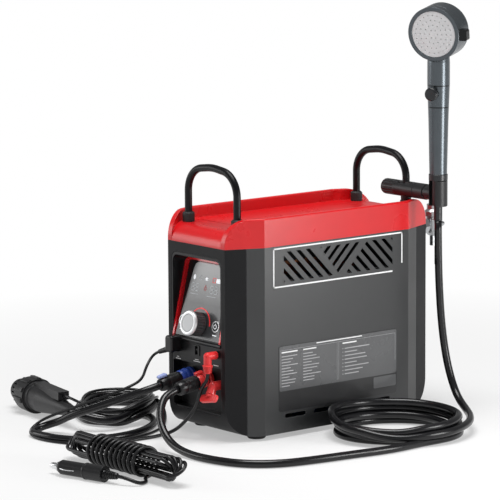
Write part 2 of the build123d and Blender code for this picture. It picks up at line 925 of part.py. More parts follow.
def drain_valve_body():
    body = rod((wall_x, drain_y, drain_z), (-1, 0, 0), drain_body_diameter, -drain_tail, drain_reach)
    body += rod((wall_x, drain_y, drain_z), (1, 0, 0), drain_flange, fascia_wall, fascia_wall + 3)
    body += Pos(*drain_origin) * Sphere(drain_body_diameter / 2)
    body += rod(drain_origin, drain_axis, drain_body_diameter, 0, drain_neck)
    return body - rod(drain_origin, drain_axis, drain_stem + 2 * shaft_clearance, 0, drain_neck + 1)


def drain_knob():
    """Wing handle on a stem that turns in the drain valve."""
    stem = rod(drain_origin, drain_axis, drain_stem, 1, drain_neck + 1)
    low = drain_neck + moving_gap
    boss = rod(drain_origin, drain_axis, drain_body_diameter - 2, low, low + 4)
    place = plane_at(drain_origin, drain_axis, (0, 1, 0))
    wing = Box(drain_wing_length, drain_wing_thickness, drain_wing_width)
    wing = fillet((Pos(0, 0, low + drain_wing_width / 2) * wing).edges().filter_by(Axis.Y), 4)
    return stem + boss + place * wing


# ---------------------------------------------------------------- inner works

def sheet_box(low, high, open_low, open_high):
    """Thin-walled box whose cavity runs out past the open faces."""
    inner_low = [a + (-1 if run else sheet) for a, run in zip(low, open_low)]
    inner_high = [b + (1 if run else -sheet) for b, run in zip(high, open_high)]
    return block(low, high) - block(inner_low, inner_high)


floor_z = foot_height + wall
inner_face_y = body_width / 2 - wall
half_width = chamber_width / 2
hood_low_z = exchanger_low_z + exchanger_height
tube_rows = [tube_pitch * (index - 1.5) for index in range(4)]


def combustion_chamber():
    """Burner housing of folded sheet on four legs that stand on the base."""
    low = (chamber_low_x, -half_width, chamber_low_z)
    high = (chamber_high_x, half_width, exchanger_low_z)
    chamber = sheet_box(low, high, (False, False, True), (False, False, True))
    for x in (chamber_low_x, chamber_high_x - chamber_leg):
        for y in (-half_width, half_width - sheet):
            chamber += block((x, y, floor_z), (x + chamber_leg, y + sheet, chamber_low_z))
    feed = (chamber_high_x, gas_y, burner_z)
    chamber -= rod(feed, (1, 0, 0), gas_tube + 2 * rod_clearance, -3, 3)
    spark = (chamber_high_x, igniter_y, igniter_z)
    return chamber - rod(spark, (1, 0, 0), electrode + 2 * rod_clearance, -3, 3)


def burner():
    """Row of slotted burner bars on a manifold between the chamber walls."""
    low_x = chamber_low_x + sheet
    high_x = chamber_high_x - sheet
    inner = half_width - sheet
    pitch = 2 * inner / burner_bars
    body = block((high_x - burner_manifold, -inner, burner_z - 7), (high_x, inner, burner_z + 7))
    body += block((low_x, -inner, burner_z - 3), (low_x + 3, inner, burner_z + 7))
    for index in range(burner_bars):
        y = -inner + (index + 0.5) * pitch
        bar = burner_bar_width / 2
        gap = burner_slot / 2
        body += block((low_x, y - bar, burner_z - 3), (high_x, y + bar, burner_z + 14))
        body -= block((low_x + 8, y - gap, burner_z + 8), (high_x - burner_manifold, y + gap, burner_z + 15))
    return body + rod((high_x, gas_y, burner_z), (1, 0, 0), gas_tube, 0, sheet + burner_stub)


def heat_exchanger():
    """Copper jacket filled with fins and four water tubes joined by return bends."""
    low = (chamber_low_x, -half_width, exchanger_low_z)
    high = (chamber_high_x, half_width, hood_low_z)
    body = sheet_box(low, high, (False, False, True), (False, False, True))
    pitch = (chamber_high_x - chamber_low_x) / (fin_count + 1)
    for index in range(fin_count):
        x = chamber_low_x + (index + 1) * pitch
        fin_low = (x - fin_thickness / 2, -half_width, exchanger_low_z + 4)
        body += block(fin_low, (x + fin_thickness / 2, half_width, hood_low_z - 4))
    for y in tube_rows:
        start = -tube_stub if abs(y) > tube_pitch else 0
        body += rod((chamber_low_x, y, tube_z), (1, 0, 0), water_tube, start, chamber_high_x - chamber_low_x)
    bends = [(chamber_high_x, tube_pitch, 1), (chamber_high_x, -tube_pitch, 1), (chamber_low_x, 0, -1)]
    for x, y, side in bends:
        loop = Pos(x, y, tube_z) * Torus(tube_pitch / 2, water_tube / 2)
        body += loop & block((min(x, x + side * 40), -span, 0), (max(x, x + side * 40), span, span))
    return body


def exhaust_duct():
    """Flue hood on top of the exchanger that opens behind the slots of the vented side."""
    low = (grille_left_x - 2, -inner_face_y, hood_low_z)
    high = (grille_right_x + 2, half_width, chamber_high_z)
    hood = sheet_box(low, high, (False, True, False), (False, False, False))
    throat_low = (chamber_low_x + sheet, -half_width + sheet, hood_low_z - 1)
    throat_high = (chamber_high_x - sheet, half_width - sheet, hood_low_z + 2 * sheet)
    hood -= block(throat_low, throat_high)
    strut = (grille_left_x + 10, half_width - sheet, chamber_high_z)
    return hood + block(strut, (grille_right_x - 10, half_width, tray_underside_z))


def gas_valve():
    """Gas block with two solenoids, held to the chamber wall by a bracket."""
    x = chamber_high_x
    y = gas_y
    near_x = x + valve_stand
    far_x = near_x + valve_length
    body = block((near_x, y - valve_half, valve_low_z), (far_x, y + valve_half, valve_high_z))
    half = valve_bracket / 2
    body += block((x, y - half, valve_low_z + 10), (near_x, y + half, valve_high_z - 10))
    for shift in (-1, 1):
        coil = (near_x + valve_length / 2 + shift * solenoid_shift, y, valve_high_z)
        body += rod(coil, (0, 0, 1), solenoid_diameter, 0, solenoid_height)
    return body


def gas_pipe():
    """Two bent pipes: from the inlet down to the valve, and from the valve to the burner."""
    valve_x = chamber_high_x + valve_stand + valve_length
    valve_z = (valve_low_z + valve_high_z) / 2
    drop_x = body_length / 2 - gas_drop_depth
    inlet = [
        (body_length / 2 - gas_stub_depth, gas_y, gas_z),
        (drop_x, gas_y, gas_z),
        (drop_x, gas_y, valve_z),
        (valve_x, gas_y, valve_z),
    ]
    feed_x = chamber_high_x + valve_stand + valve_length / 2
    feed = [
        (feed_x, gas_y, valve_low_z),
        (feed_x, gas_y, burner_z),
        (chamber_high_x + burner_stub, gas_y, burner_z),
    ]
    return Compound(children=[tube_run(inlet, gas_tube, gas_bend), tube_run(feed, gas_tube, gas_bend)])


def tube_run(points, diameter, bend):
    """Round bar swept along straight runs joined by bends of one radius."""
    path = FilletPolyline(*points, radius=bend)
    way = Vector(*points[1]) - Vector(*points[0])
    start = Plane(origin=points[0], z_dir=tuple(way.normalized()))
    return sweep(start * Circle(diameter / 2), path=path)


def on_fitting(y, distance):
    """Point on the axis of a water fitting, at a distance out from the pocket wall."""
    point = Vector(wall_x, y, fitting_z) + Vector(*fitting_axis) * distance
    return tuple(point)


def flow_sensor():
    place = plane_at(on_fitting(inlet_y, -spigot_tail), tuple(-a for a in fitting_axis), (0, 1, 0))
    body = place * Pos(0, 0, sensor_length / 2) * Box(sensor_width, sensor_width, sensor_length)
    return body + place * Pos(0, sensor_width / 2 + 3, sensor_length / 2) * Box(9, 8, 9)


def water_pipes():
    cold = [
        on_fitting(inlet_y, -spigot_tail - sensor_length),
        on_fitting(inlet_y, -pipe_turn),
        (pipe_rise_x, 1.5 * tube_pitch, pipe_rise_z),
        (pipe_rise_x, 1.5 * tube_pitch, tube_z),
        (chamber_low_x - tube_stub, 1.5 * tube_pitch, tube_z),
    ]
    hot = [
        on_fitting(outlet_y, -spigot_tail),
        on_fitting(outlet_y, -pipe_turn),
        (pipe_rise_x, -1.5 * tube_pitch, pipe_rise_z),
        (pipe_rise_x, -1.5 * tube_pitch, tube_z),
        (chamber_low_x - tube_stub, -1.5 * tube_pitch, tube_z),
    ]
    return Compound(children=[tube_run(cold, water_tube, 8), tube_run(hot, water_tube, 8)])


def igniter():
    """Spark unit on the chamber wall with its electrode reaching over the burner."""
    x = chamber_high_x
    unit = Box(igniter_depth, igniter_width, igniter_height)
    body = Pos(x + igniter_depth / 2, igniter_y, igniter_z) * unit
    origin = (x, igniter_y, igniter_z)
    body += rod(origin, (-1, 0, 0), electrode, 0, electrode_sleeve)
    return body + rod(origin, (-1, 0, 0), electrode_wire, electrode_sleeve, electrode_reach)


def battery_pack():
    body = Pos(0, 0, floor_z + battery_height / 2) * Box(battery_length, battery_width, battery_height)
    return fillet(body.edges().filter_by(Axis.Z), battery_edge)


# ---------------------------------------------------------------- gas inlet and regulator

regulator_x = body_length / 2 + gas_reach


def gas_regulator():
    """Gas inlet through the rear cover and the upright regulator with its hose tail."""
    origin = (body_length / 2, gas_y, gas_z)
    body = rod(origin, (1, 0, 0), gas_thread_diameter, -gas_stub_depth, gas_reach)
    body += rod(origin, (1, 0, 0), gas_flange_diameter, 0, 3)
    nut = RegularPolygon(gas_flange_diameter / 2 - 1, 6, major_radius=False)
    nut_plane = plane_at(origin, (1, 0, 0), (0, 1, 0)).offset(3 + gas_thread_length)
    body += extrude(nut_plane * nut, amount=8)
    r = regulator_diameter / 2
    axis = (regulator_x, gas_y, 0)
    tail_r = gas_tail_diameter / 2
    shoulder_z = regulator_low_z + gas_tail_length
    profile = [
        (0, regulator_low_z),
        (tail_r, regulator_low_z),
        (tail_r, shoulder_z),
        (tail_r + 2.5, shoulder_z + 1),
        (r, gas_z - 10),
        (r, gas_z + 8),
        (r - regulator_groove, gas_z + 9),
        (r - regulator_groove, gas_z + 12),
        (r, gas_z + 13),
        (r, gas_z + 20),
        (r - 3, gas_z + 23),
        (r - 3, regulator_high_z),
        (0, regulator_high_z),
    ]
    body += turned(axis, (0, 0, 1), profile)
    test_origin = (regulator_x, gas_y, gas_z)
    body += rod(test_origin, (1, 0, 0), nipple_diameter, 0, regulator_nipple)
    cap_start = regulator_nipple - 8
    return body + rod(test_origin, (1, 0, 0), nipple_cap_diameter, cap_start, cap_start + 5)


# ---------------------------------------------------------------- shower clamp, cradle and handset

arm_origin = (handle_x, 0, arm_z)
leg_y = -handle_half_span
clamp_near_y = leg_y - clamp_near_reach
clamp_far_y = leg_y + clamp_far_reach
clamp_knob_far_y = leg_y + clamp_knob_reach
cradle_y = leg_y - cradle_reach
cradle_pivot_y = leg_y - cradle_pivot_reach


def clamp_body():
    """Clamp block on the handle leg, with a boss that rests on the grommet."""
    body = rod(arm_origin, (0, 1, 0), arm_diameter, cradle_pivot_y + moving_gap, clamp_far_y)
    groove = arm_diameter - 2 * clamp_groove
    half = clamp_groove_width / 2
    body -= ring(arm_origin, (0, 1, 0), arm_diameter + 2, groove, clamp_near_y - half, clamp_near_y + half)
    boss = Pos(handle_x, leg_y, (tray_z + grommet_height + arm_z) / 2)
    body += boss * Cylinder(grommet_diameter / 2 - 1, arm_z - tray_z - grommet_height)
    grip_z = arm_z + arm_diameter / 2
    grip_middle = (clamp_near_y + clamp_far_y) / 2 + 4
    low = (handle_x - 12, grip_middle - clamp_grip_length / 2, grip_z - 3)
    grip = block(low, (handle_x - 4.5, grip_middle + clamp_grip_length / 2, grip_z + 2))
    body -= grip
    body -= Pos(handle_x, leg_y, arm_z) * Cylinder(handle_rod / 2, 4 * arm_diameter)
    pin_bore = pivot_diameter + 2 * shaft_clearance
    body -= rod(arm_origin, (0, 1, 0), pin_bore, leg_y, clamp_far_y + 1)
    pivot_end = cradle_pivot_y + pivot_length + 1
    return body - rod(arm_origin, (0, 1, 0), pin_bore, cradle_pivot_y - 1, pivot_end)


def clamp_knob():
    """Tightening knob on a screw that bears against the handle leg."""
    knob = rod(arm_origin, (0, 1, 0), arm_diameter, clamp_far_y + moving_gap, clamp_knob_far_y)
    knob = fillet(knob.edges().group_by(Axis.Y)[-1], 4)
    place = plane_at((handle_x, clamp_far_y + 6, arm_z), (0, 1, 0))
    flutes = Sketch() + [loc * Circle(1.2) for loc in PolarLocations(arm_diameter / 2, clamp_knob_flutes)]
    knob -= extrude(place * flutes, amount=clamp_knob_far_y - clamp_far_y)
    screw_end = leg_y + handle_rod / 2 + moving_gap
    return knob + rod(arm_origin, (0, 1, 0), pivot_diameter, screw_end, clamp_far_y + 1)


cradle_origin = (handle_x, cradle_y, 0)


def cradle():
    """Slotted cup for the hose nut of the handset, on a pivot pin in the clamp."""
    cup = rod(cradle_origin, (0, 0, 1), cradle_diameter, cradle_low_z, cradle_high_z)
    cup = chamfer(cup.edges(), 0.8)
    cup += rod(arm_origin, (0, 1, 0), arm_diameter - 2, cradle_y, cradle_pivot_y)
    cup += rod(arm_origin, (0, 1, 0), pivot_diameter, cradle_y, cradle_pivot_y + pivot_length)
    cup -= rod(cradle_origin, (0, 0, 1), collar_bore_diameter, cradle_low_z - 1, cradle_high_z + 1)
    slot_low = (handle_x - cradle_diameter, cradle_y - cradle_slot / 2, cradle_low_z - 1)
    return cup - block(slot_low, (handle_x, cradle_y + cradle_slot / 2, cradle_high_z + 1))


yaw = math.radians(handset_yaw)
level_face = (math.cos(yaw), math.sin(yaw), 0)
tilt = math.radians(head_tilt)
face_axis = (math.cos(yaw) * math.cos(tilt), math.sin(yaw) * math.cos(tilt), -math.sin(tilt))
head_origin = tuple(Vector(handle_x, cradle_y, head_z) - Vector(*face_axis) * head_set_back)


def handset_collar():
    """Hose nut that sits in the cradle, with a sleeve for the hose and a flange that rests on the rim."""
    body = rod(cradle_origin, (0, 0, 1), hose_nut_diameter, cradle_low_z + 1, grip_low_z)
    body += rod(cradle_origin, (0, 0, 1), handset_flange, cradle_high_z + moving_gap, grip_low_z)
    body += rod(cradle_origin, (0, 0, 1), hose_sleeve_diameter, hose_sleeve_low_z, cradle_low_z + 1)
    return chamfer(body.edges().group_by(Axis.Z)[-1], 0.6)


def handset_grip():
    """Tapering grip with a bore for the stop button."""
    middle_r = (grip_low_diameter + grip_high_diameter) / 4
    high_r = grip_high_diameter / 2
    profile = [
        (0, grip_low_z),
        (grip_low_diameter / 2, grip_low_z),
        (middle_r, (grip_low_z + grip_high_z) / 2),
        (high_r, grip_high_z - 30),
        (high_r, grip_high_z),
        (high_r - 1, neck_z),
        (0, neck_z),
    ]
    grip = turned(cradle_origin, (0, 0, 1), profile)
    grip -= rod(head_origin, face_axis, head_diameter + 2 * moving_gap, -head_depth / 2, 2 * head_depth)
    bore = stop_button_diameter + 2 * button_clearance
    button_origin = (handle_x, cradle_y, stop_button_z)
    return grip - rod(button_origin, level_face, bore, -grip_high_diameter, grip_high_diameter)


def spray_head():
    """Drum of the handset on a short neck that enters the grip."""
    r = head_diameter / 2
    face_r = face_diameter / 2
    half = head_depth / 2
    seat = half - ring_width - moving_gap
    profile = [
        (0, -half),
        (r - 10, -half),
        (r - 3, -half + 5),
        (r, -half + 12),
        (r, seat),
        (ring_bore / 2, seat),
        (ring_bore / 2, half - 1),
        (0, half - 1),
    ]
    head = turned(head_origin, face_axis, profile)
    neck = rod(cradle_origin, (0, 0, 1), grip_high_diameter - 8, neck_z, head_origin[2] - 4)
    return head + (neck - rod(head_origin, face_axis, 2 * head_diameter, seat, span))


def spray_plate():
    """Round nozzle plate on the front of the head."""
    half = head_depth / 2
    face = half + spray_plate_stand
    plate = rod(head_origin, face_axis, face_diameter - 2 * moving_gap, half - 1, face)
    place = plane_at(head_origin, face_axis).offset(face)
    holes = Sketch()
    for index in range(nozzle_ring_count):
        radius = nozzle_ring_first + index * nozzle_ring_pitch
        holes += [loc * Circle(nozzle / 2) for loc in PolarLocations(radius, 6 * (index + 1))]
    return plate - extrude(place * holes, amount=-nozzle_depth)


def spray_lever():
    """Turning ring round the nozzle plate with the lever that selects the spray."""
    half = head_depth / 2
    bore = ring_bore + 2 * shaft_clearance
    body = ring(head_origin, face_axis, head_diameter, bore, half - ring_width, half - 1)
    body += ring(head_origin, face_axis, head_diameter, face_diameter, half - 1, half + 2)
    sideways = Vector(0, 0, 1).cross(Vector(*face_axis)).normalized()
    place = plane_at(head_origin, face_axis, tuple(sideways))
    tab = place * Pos(head_diameter / 2 + lever_reach / 2 - 2, 0, half - ring_width / 2 + 1)
    tab *= Box(lever_reach, lever_width, ring_width + 1)
    return body + fillet(tab.edges().filter_by(lambda e: abs(e.length - ring_width - 1) < 0.01), 3)


def stop_button():
    """Push-through button across the grip with a domed front end."""
    origin = (handle_x, cradle_y, stop_button_z)
    reach = grip_high_diameter / 2
    pin = rod(origin, level_face, stop_button_diameter, -reach - stop_button_travel - 2, reach + 2)
    end = reach + stop_button_travel + 4
    ball = rod(origin, level_face, stop_ball_diameter, end - stop_ball_width / 2, end + stop_ball_width / 2)
    ball = fillet(ball.edges(), 3)
    return pin + ball + rod(origin, level_face, stop_button_diameter, 0, end)


# ---------------------------------------------------------------- hoses and cables

def cord_tube(name, points, diameter, tight=()):
    """Plain tube along straight runs, with every bend as large as its two runs allow."""
    radii = []
    for before, here, after in zip(points, points[1:], points[2:]):
        first = Vector(*here) - Vector(*before)
        second = Vector(*after) - Vector(*here)
        turn = math.radians(first.get_angle(second))
        shorter = min(first.length, second.length)
        radii.append(bend_share * shorter / math.tan(turn / 2))
    path = FilletPolyline(*points, radius=radii)
    way = Vector(*points[1]) - Vector(*points[0])
    start = Plane(origin=points[0], z_dir=tuple(way.normalized()))
    tube = sweep(start * Circle(diameter / 2), path=path)
    expected = math.pi * diameter ** 2 / 4 * path.length
    print(name, "length", round(path.length), "volume ratio", round(tube.volume / expected, 3))
    print("  radii in diameters", [round(radius / diameter, 1) for radius in radii])
    return tube


def oval_coil(centre, half_width, half_depth, low_z, high_z, rounding):
    """Closed oval ring with the outer shape of a wound coil of hose."""
    outer = Ellipse(half_width + hose_diameter / 2, half_depth + hose_diameter / 2)
    inner = Ellipse(half_width - hose_diameter / 2, half_depth - hose_diameter / 2)
    solid = extrude(Pos(*centre, low_z) * Rot(0, 0, coil_turn_angle) * (outer - inner), high_z - low_z)
    return fillet(solid.edges(), rounding)


along_pump = tuple((Vector(*pump_tip) - Vector(*pump_tail)).normalized())
pump_length = (Vector(*pump_tip) - Vector(*pump_tail)).length


def pump_body():
    """Tapering pump housing with a ribbed nut, a hose tail and a raised cable channel."""
    nut_r = pump_nut_diameter / 2
    profile = [
        (0, 0),
        (7, 0),
        (9, 10),
        (12, 28),
        (19, 84),
        (20, pump_nut_start),
        (nut_r, pump_nut_start),
        (nut_r, pump_nut_end),
        (0, pump_nut_end),
    ]
    body = turned(pump_tail, along_pump, profile)
    middle = (channel_start + channel_end) / 2
    channel = Box(channel_depth, channel_width, channel_end - channel_start)
    place = plane_at(pump_tail, along_pump, (0, 0, 1))
    return body + place * Pos(channel_top - channel_depth / 2, 0, middle) * channel


def pump_strainer():
    """Slotted suction strainer on the end of the pump."""
    body = rod(pump_tail, along_pump, strainer_diameter, pump_nut_end, pump_length)
    body = chamfer(body.edges().sort_by(lambda e: -(Vector(*pump_tip) - e.center()).length)[-1], 2)
    low = pump_nut_end + strainer_wall
    high = pump_length - strainer_wall
    cavity = rod(pump_tail, along_pump, strainer_diameter - 2 * strainer_wall, low, high)
    place = plane_at(pump_tail, along_pump, (0, 0, 1)) * Pos(0, 0, (pump_nut_end + pump_length) / 2)
    slot_length = pump_length - pump_nut_end - 12
    for index in range(strainer_slots // 2):
        turn = Rot(0, 0, index * 360 / strainer_slots)
        body -= place * turn * Box(2 * strainer_diameter, strainer_slot, slot_length)
    return body - cavity + rod(pump_tail, along_pump, strainer_core, pump_nut_end, high)


def beyond(point, other, distance):
    """Point on the line from one point through another, a distance past the second."""
    way = (Vector(*other) - Vector(*point)).normalized()
    return tuple(Vector(*other) + way * distance)


def beside_pump(distance, height):
    """Point above the axis of the pump, at a distance from its hose tail."""
    return tuple(Vector(*pump_tail) + Vector(*along_pump) * distance + Vector(0, 0, height))


hose_start = coupler_start + coupler_length
inlet_run = [
    on_fitting(inlet_y, hose_start),
    on_fitting(inlet_y, hose_start + hose_lead),
    (-272, 52, 59),
    (-297, 85, 43),
    (-316, 124, 27),
    (-329, 153, 13),
    (-343, 157.5, 6.5),
    (-356, 148.5, 5.5),
    (-360, 127, 5.5),
    (-356, 95, 5.5),
    (-338, 65, 5.5),
    (-299, 49, 5.5),
    (-248, 52, 6.5),
    (-203, 78, 8),
    (-168, 118, 11),
    (-150, 146, 14),
]
inlet_tail = [
    pump_tail,
    beyond(pump_tip, pump_tail, 20),
    (-278.6, 119.6, 19),
    (-257.2, 106.7, 11),
    (-232, 108.5, 8),
    (-212, 113, 8),
]
outlet_run = [
    on_fitting(outlet_y, hose_start),
    on_fitting(outlet_y, hose_start + hose_lead),
    (-264, -19, 56),
    (-276, -34, 34),
    (-280, -62, 13),
    (-281, -102, 5.5),
    (-278, -150, 5.5),
    (-262, -196, 5.5),
    (-226, -226, 5.5),
    (-176, -238, 5.5),
    (-115, -246, 5.5),
    (-52, -257, 5.5),
    (12, -252, 5.5),
]
riser_run = [
    (handle_x, cradle_y, hose_sleeve_low_z - hose_sleeve_gap),
    (155.5, -122, 240),
    (157, -122.5, 190),
    (162, -124, 125),
    (166, -130, 75),
    (162, -145, 40),
    (150, -168, 22),
    (128, -190, 17),
    (112, -206, 17),
]
pump_cable_run = [
    pump_sleeve_end,
    beyond(pump_sleeve_start, pump_sleeve_end, 12),
    (-217, 73, 94),
    (-240, 53, 80),
    (-262, 52, 73),
    (-285, 69, 61.5),
    (-304, 94, 50),
    (-318, 127, 35),
    (-331, 155, 22.5),
    (-345, 165, 12),
    (-361, 156, 5),
    (-368.5, 132, 2.2),
    (-365, 96, 2.2),
    (-346, 57, 2.2),
    (-304, 39.5, 2.2),
    (-250, 41.5, 2.2),
    (-194, 67, 2.2),
    (-160, 106, 2.2),
    (-147, 136, 5),
    (-143, 152, 8),
]
channel_mouth = (channel_start, channel_top - channel_depth / 2 + 1)
pump_cable_tail = [
    beside_pump(*channel_mouth),
    beside_pump(channel_mouth[0] - 18, channel_mouth[1]),
    (-277, 136, 35),
    (-262, 121, 22),
    (-243, 117, 13),
    (-226, 118, 11),
]
elbow_x = socket_x - elbow_reach + elbow_diameter / 2
supply_start_z = band_port_z - elbow_drop - elbow_relief
supply_run = [
    (elbow_x, supply_socket_y, supply_start_z),
    (elbow_x, supply_socket_y, supply_start_z - 9),
    (-202, -34, 79),
    (-200, -25, 66),
    (-200, -17, 46),
    (-204, 2, 24),
    (-211, 18, 9),
    (-225, 26, 4),
    (-246, 28, 2.7),
    (-270, 31, 2.7),
    (-300, 27, 2.7),
    (-334, 18, 2.7),
    (-362, 8, 5),
    (-384, -9, 15),
]
supply_tail = [
    (-400, -168, 10),
    (-405, -181, 4),
    (-418, -189, 2.7),
    (-433, -187, 5),
    beyond(plug_tip, plug_tail, plug_relief + 13),
    beyond(plug_tip, plug_tail, plug_relief),
]


def supply_plug():
    """Vehicle socket plug with a sprung tip, two side contacts and a ribbed strain relief."""
    way = Vector(*plug_tip) - Vector(*plug_tail)
    along = tuple(way.normalized())
    reach = way.length
    r = supply_plug_diameter / 2
    barrel_r = r - plug_step
    profile = [
        (0, -plug_relief),
        (supply_cable_diameter / 2 + 0.8, -plug_relief),
        (plug_neck_diameter / 2, 0),
        (r, 0),
        (r, plug_grip_length),
        (barrel_r, plug_grip_length + 2),
        (barrel_r, reach - 20),
        (barrel_r - 2, reach - 16),
        (plug_contact_diameter / 2, reach - 14),
        (plug_contact_diameter / 2, reach - 3),
        (plug_contact_diameter / 4, reach),
        (0, reach),
    ]
    body = turned(plug_tail, along, profile)
    place = plane_at(plug_tail, along, (0, 0, 1)) * Pos(0, 0, reach - plug_spring_back)
    return body + place * Box(3, supply_plug_diameter - 0.4, plug_spring_length)


def supply_hank():
    """Outer shape of the supply cable wound into a bound hank."""
    wraps_r = hank_wraps_diameter / 2
    loops_r = hank_loops_diameter / 2
    profile = [
        (0, 0),
        (loops_r - 7, 4),
        (loops_r, 22),
        (loops_r, hank_wraps_start - 8),
        (wraps_r, hank_wraps_start),
        (wraps_r, hank_wraps_end),
        (loops_r, hank_wraps_end + 8),
        (loops_r, hank_length - 22),
        (loops_r - 6, hank_length - 6),
        (0, hank_length),
    ]
    return turned(hank_end, (0, -1, 0), profile)


def hose_pair(name, run, tail, diameter):
    return Compound(children=[cord_tube(name, run, diameter), cord_tube(name + " tail", tail, diameter)])


def build_all():
    return {
        "base_plate": base_plate(),
        "rubber_feet": rubber_feet(),
        "casing_screws": casing_screws(),
        "side_panel_near": side_panel(-1, True),
        "side_panel_far": side_panel(1, False),
        "front_cover": front_cover(),
        "rear_cover": rear_cover(),
        "top_cover": top_cover(),
        "handle_front": handle(-1),
        "handle_rear": handle(1),
        "handle_grommets": handle_grommets(),
        "front_fascia": front_fascia(),
        "fascia_trim": fascia_trim(),
        "control_panel": control_panel(),
        "control_board": control_board(),
        "knob_encoder": knob_encoder(),
        "temperature_knob": temperature_knob(),
        "knob_cap": knob_cap(),
        "button_left": push_button(button_places[0]),
        "button_right": push_button(button_places[1]),
        "usb_port": usb_port(),
        "power_sockets": power_sockets(),
        "pump_plug": pump_plug(),
        "power_elbow": power_elbow(),
        "inlet_fitting": water_fitting(inlet_y),
        "outlet_fitting": water_fitting(outlet_y),
        "inlet_coupler": coupler(inlet_y),
        "shower_coupler": coupler(outlet_y),
        "drain_valve_body": drain_valve_body(),
        "drain_knob": drain_knob(),
        "combustion_chamber": combustion_chamber(),
        "burner": burner(),
        "heat_exchanger": heat_exchanger(),
        "exhaust_duct": exhaust_duct(),
        "gas_valve": gas_valve(),
        "gas_pipe": gas_pipe(),
        "gas_regulator": gas_regulator(),
        "flow_sensor": flow_sensor(),
        "water_pipes": water_pipes(),
        "igniter": igniter(),
        "battery_pack": battery_pack(),
        "clamp_body": clamp_body(),
        "clamp_knob": clamp_knob(),
        "cradle": cradle(),
        "handset_collar": handset_collar(),
        "handset_grip": handset_grip(),
        "spray_head": spray_head(),
        "spray_plate": spray_plate(),
        "spray_lever": spray_lever(),
        "stop_button": stop_button(),
        "pump_body": pump_body(),
        "pump_strainer": pump_strainer(),
        "power_plug": supply_plug(),
        "power_hank": supply_hank(),
        "power_cable": hose_pair("supply cable", supply_run, supply_tail, supply_cable_diameter),
        "pump_cable": hose_pair("pump cable", pump_cable_run, pump_cable_tail, pump_cable_diameter),
        "inlet_hose": hose_pair("inlet hose", inlet_run, inlet_tail, hose_diameter),
        "inlet_hose_coil": oval_coil(*inlet_coil),
        "shower_hose": hose_pair("shower hose", outlet_run, riser_run, hose_diameter),
        "shower_hose_coil": oval_coil(*shower_coil),
    }


os.makedirs("parts", exist_ok=True)
for name, shape in build_all().items():
    export_step(shape, f"parts/{name}.step")
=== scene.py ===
import math

import bmesh
import bpy
from mathutils import Matrix, Vector


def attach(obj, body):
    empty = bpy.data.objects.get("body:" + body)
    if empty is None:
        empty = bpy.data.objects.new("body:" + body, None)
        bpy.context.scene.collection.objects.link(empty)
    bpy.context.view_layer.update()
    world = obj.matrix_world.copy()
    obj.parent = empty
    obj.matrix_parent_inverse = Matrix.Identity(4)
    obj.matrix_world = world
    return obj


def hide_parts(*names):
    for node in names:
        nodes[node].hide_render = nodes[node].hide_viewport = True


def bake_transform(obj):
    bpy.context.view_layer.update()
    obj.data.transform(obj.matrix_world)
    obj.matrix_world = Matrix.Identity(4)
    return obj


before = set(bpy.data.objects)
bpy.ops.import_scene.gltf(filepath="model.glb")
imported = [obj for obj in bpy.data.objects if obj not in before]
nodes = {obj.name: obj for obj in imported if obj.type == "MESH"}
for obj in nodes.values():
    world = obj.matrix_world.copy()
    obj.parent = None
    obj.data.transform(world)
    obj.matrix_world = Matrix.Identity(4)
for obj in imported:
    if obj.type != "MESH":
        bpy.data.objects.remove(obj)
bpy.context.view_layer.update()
print("frame loaded,", len(nodes), "nodes")


def unit(v):
    return Vector(v).normalized()


def turnTo(normal, across):
    # a frame whose Z is the normal and whose X lies along across
    z = unit(normal)
    x = (Vector(across) - z * z.dot(Vector(across))).normalized()
    return Matrix((x, z.cross(x), z)).transposed().to_4x4()


# camera: place in metres, lens and sensor in millimetres
camera = {
    "place": (-2.9608, -3.5383, 0.9745),
    "right": (0.77586, -0.63088, -0.00555),
    "up": (0.10293, 0.1179, 0.98768),
    "lens": 237.6,
    "sensor": 36.0,
}
camData = bpy.data.cameras.new("studioCamera")
camData.lens = camera["lens"]
camData.sensor_width = camera["sensor"]
camData.clip_end = 200
cam = bpy.data.objects.new("studioCamera", camData)
bpy.context.scene.collection.objects.link(cam)
camX, camY = unit(camera["right"]), unit(camera["up"])
camTurn = Matrix((camX, camY, camX.cross(camY))).transposed().to_4x4()
cam.matrix_world = Matrix.Translation(camera["place"]) @ camTurn
bpy.context.scene.camera = cam

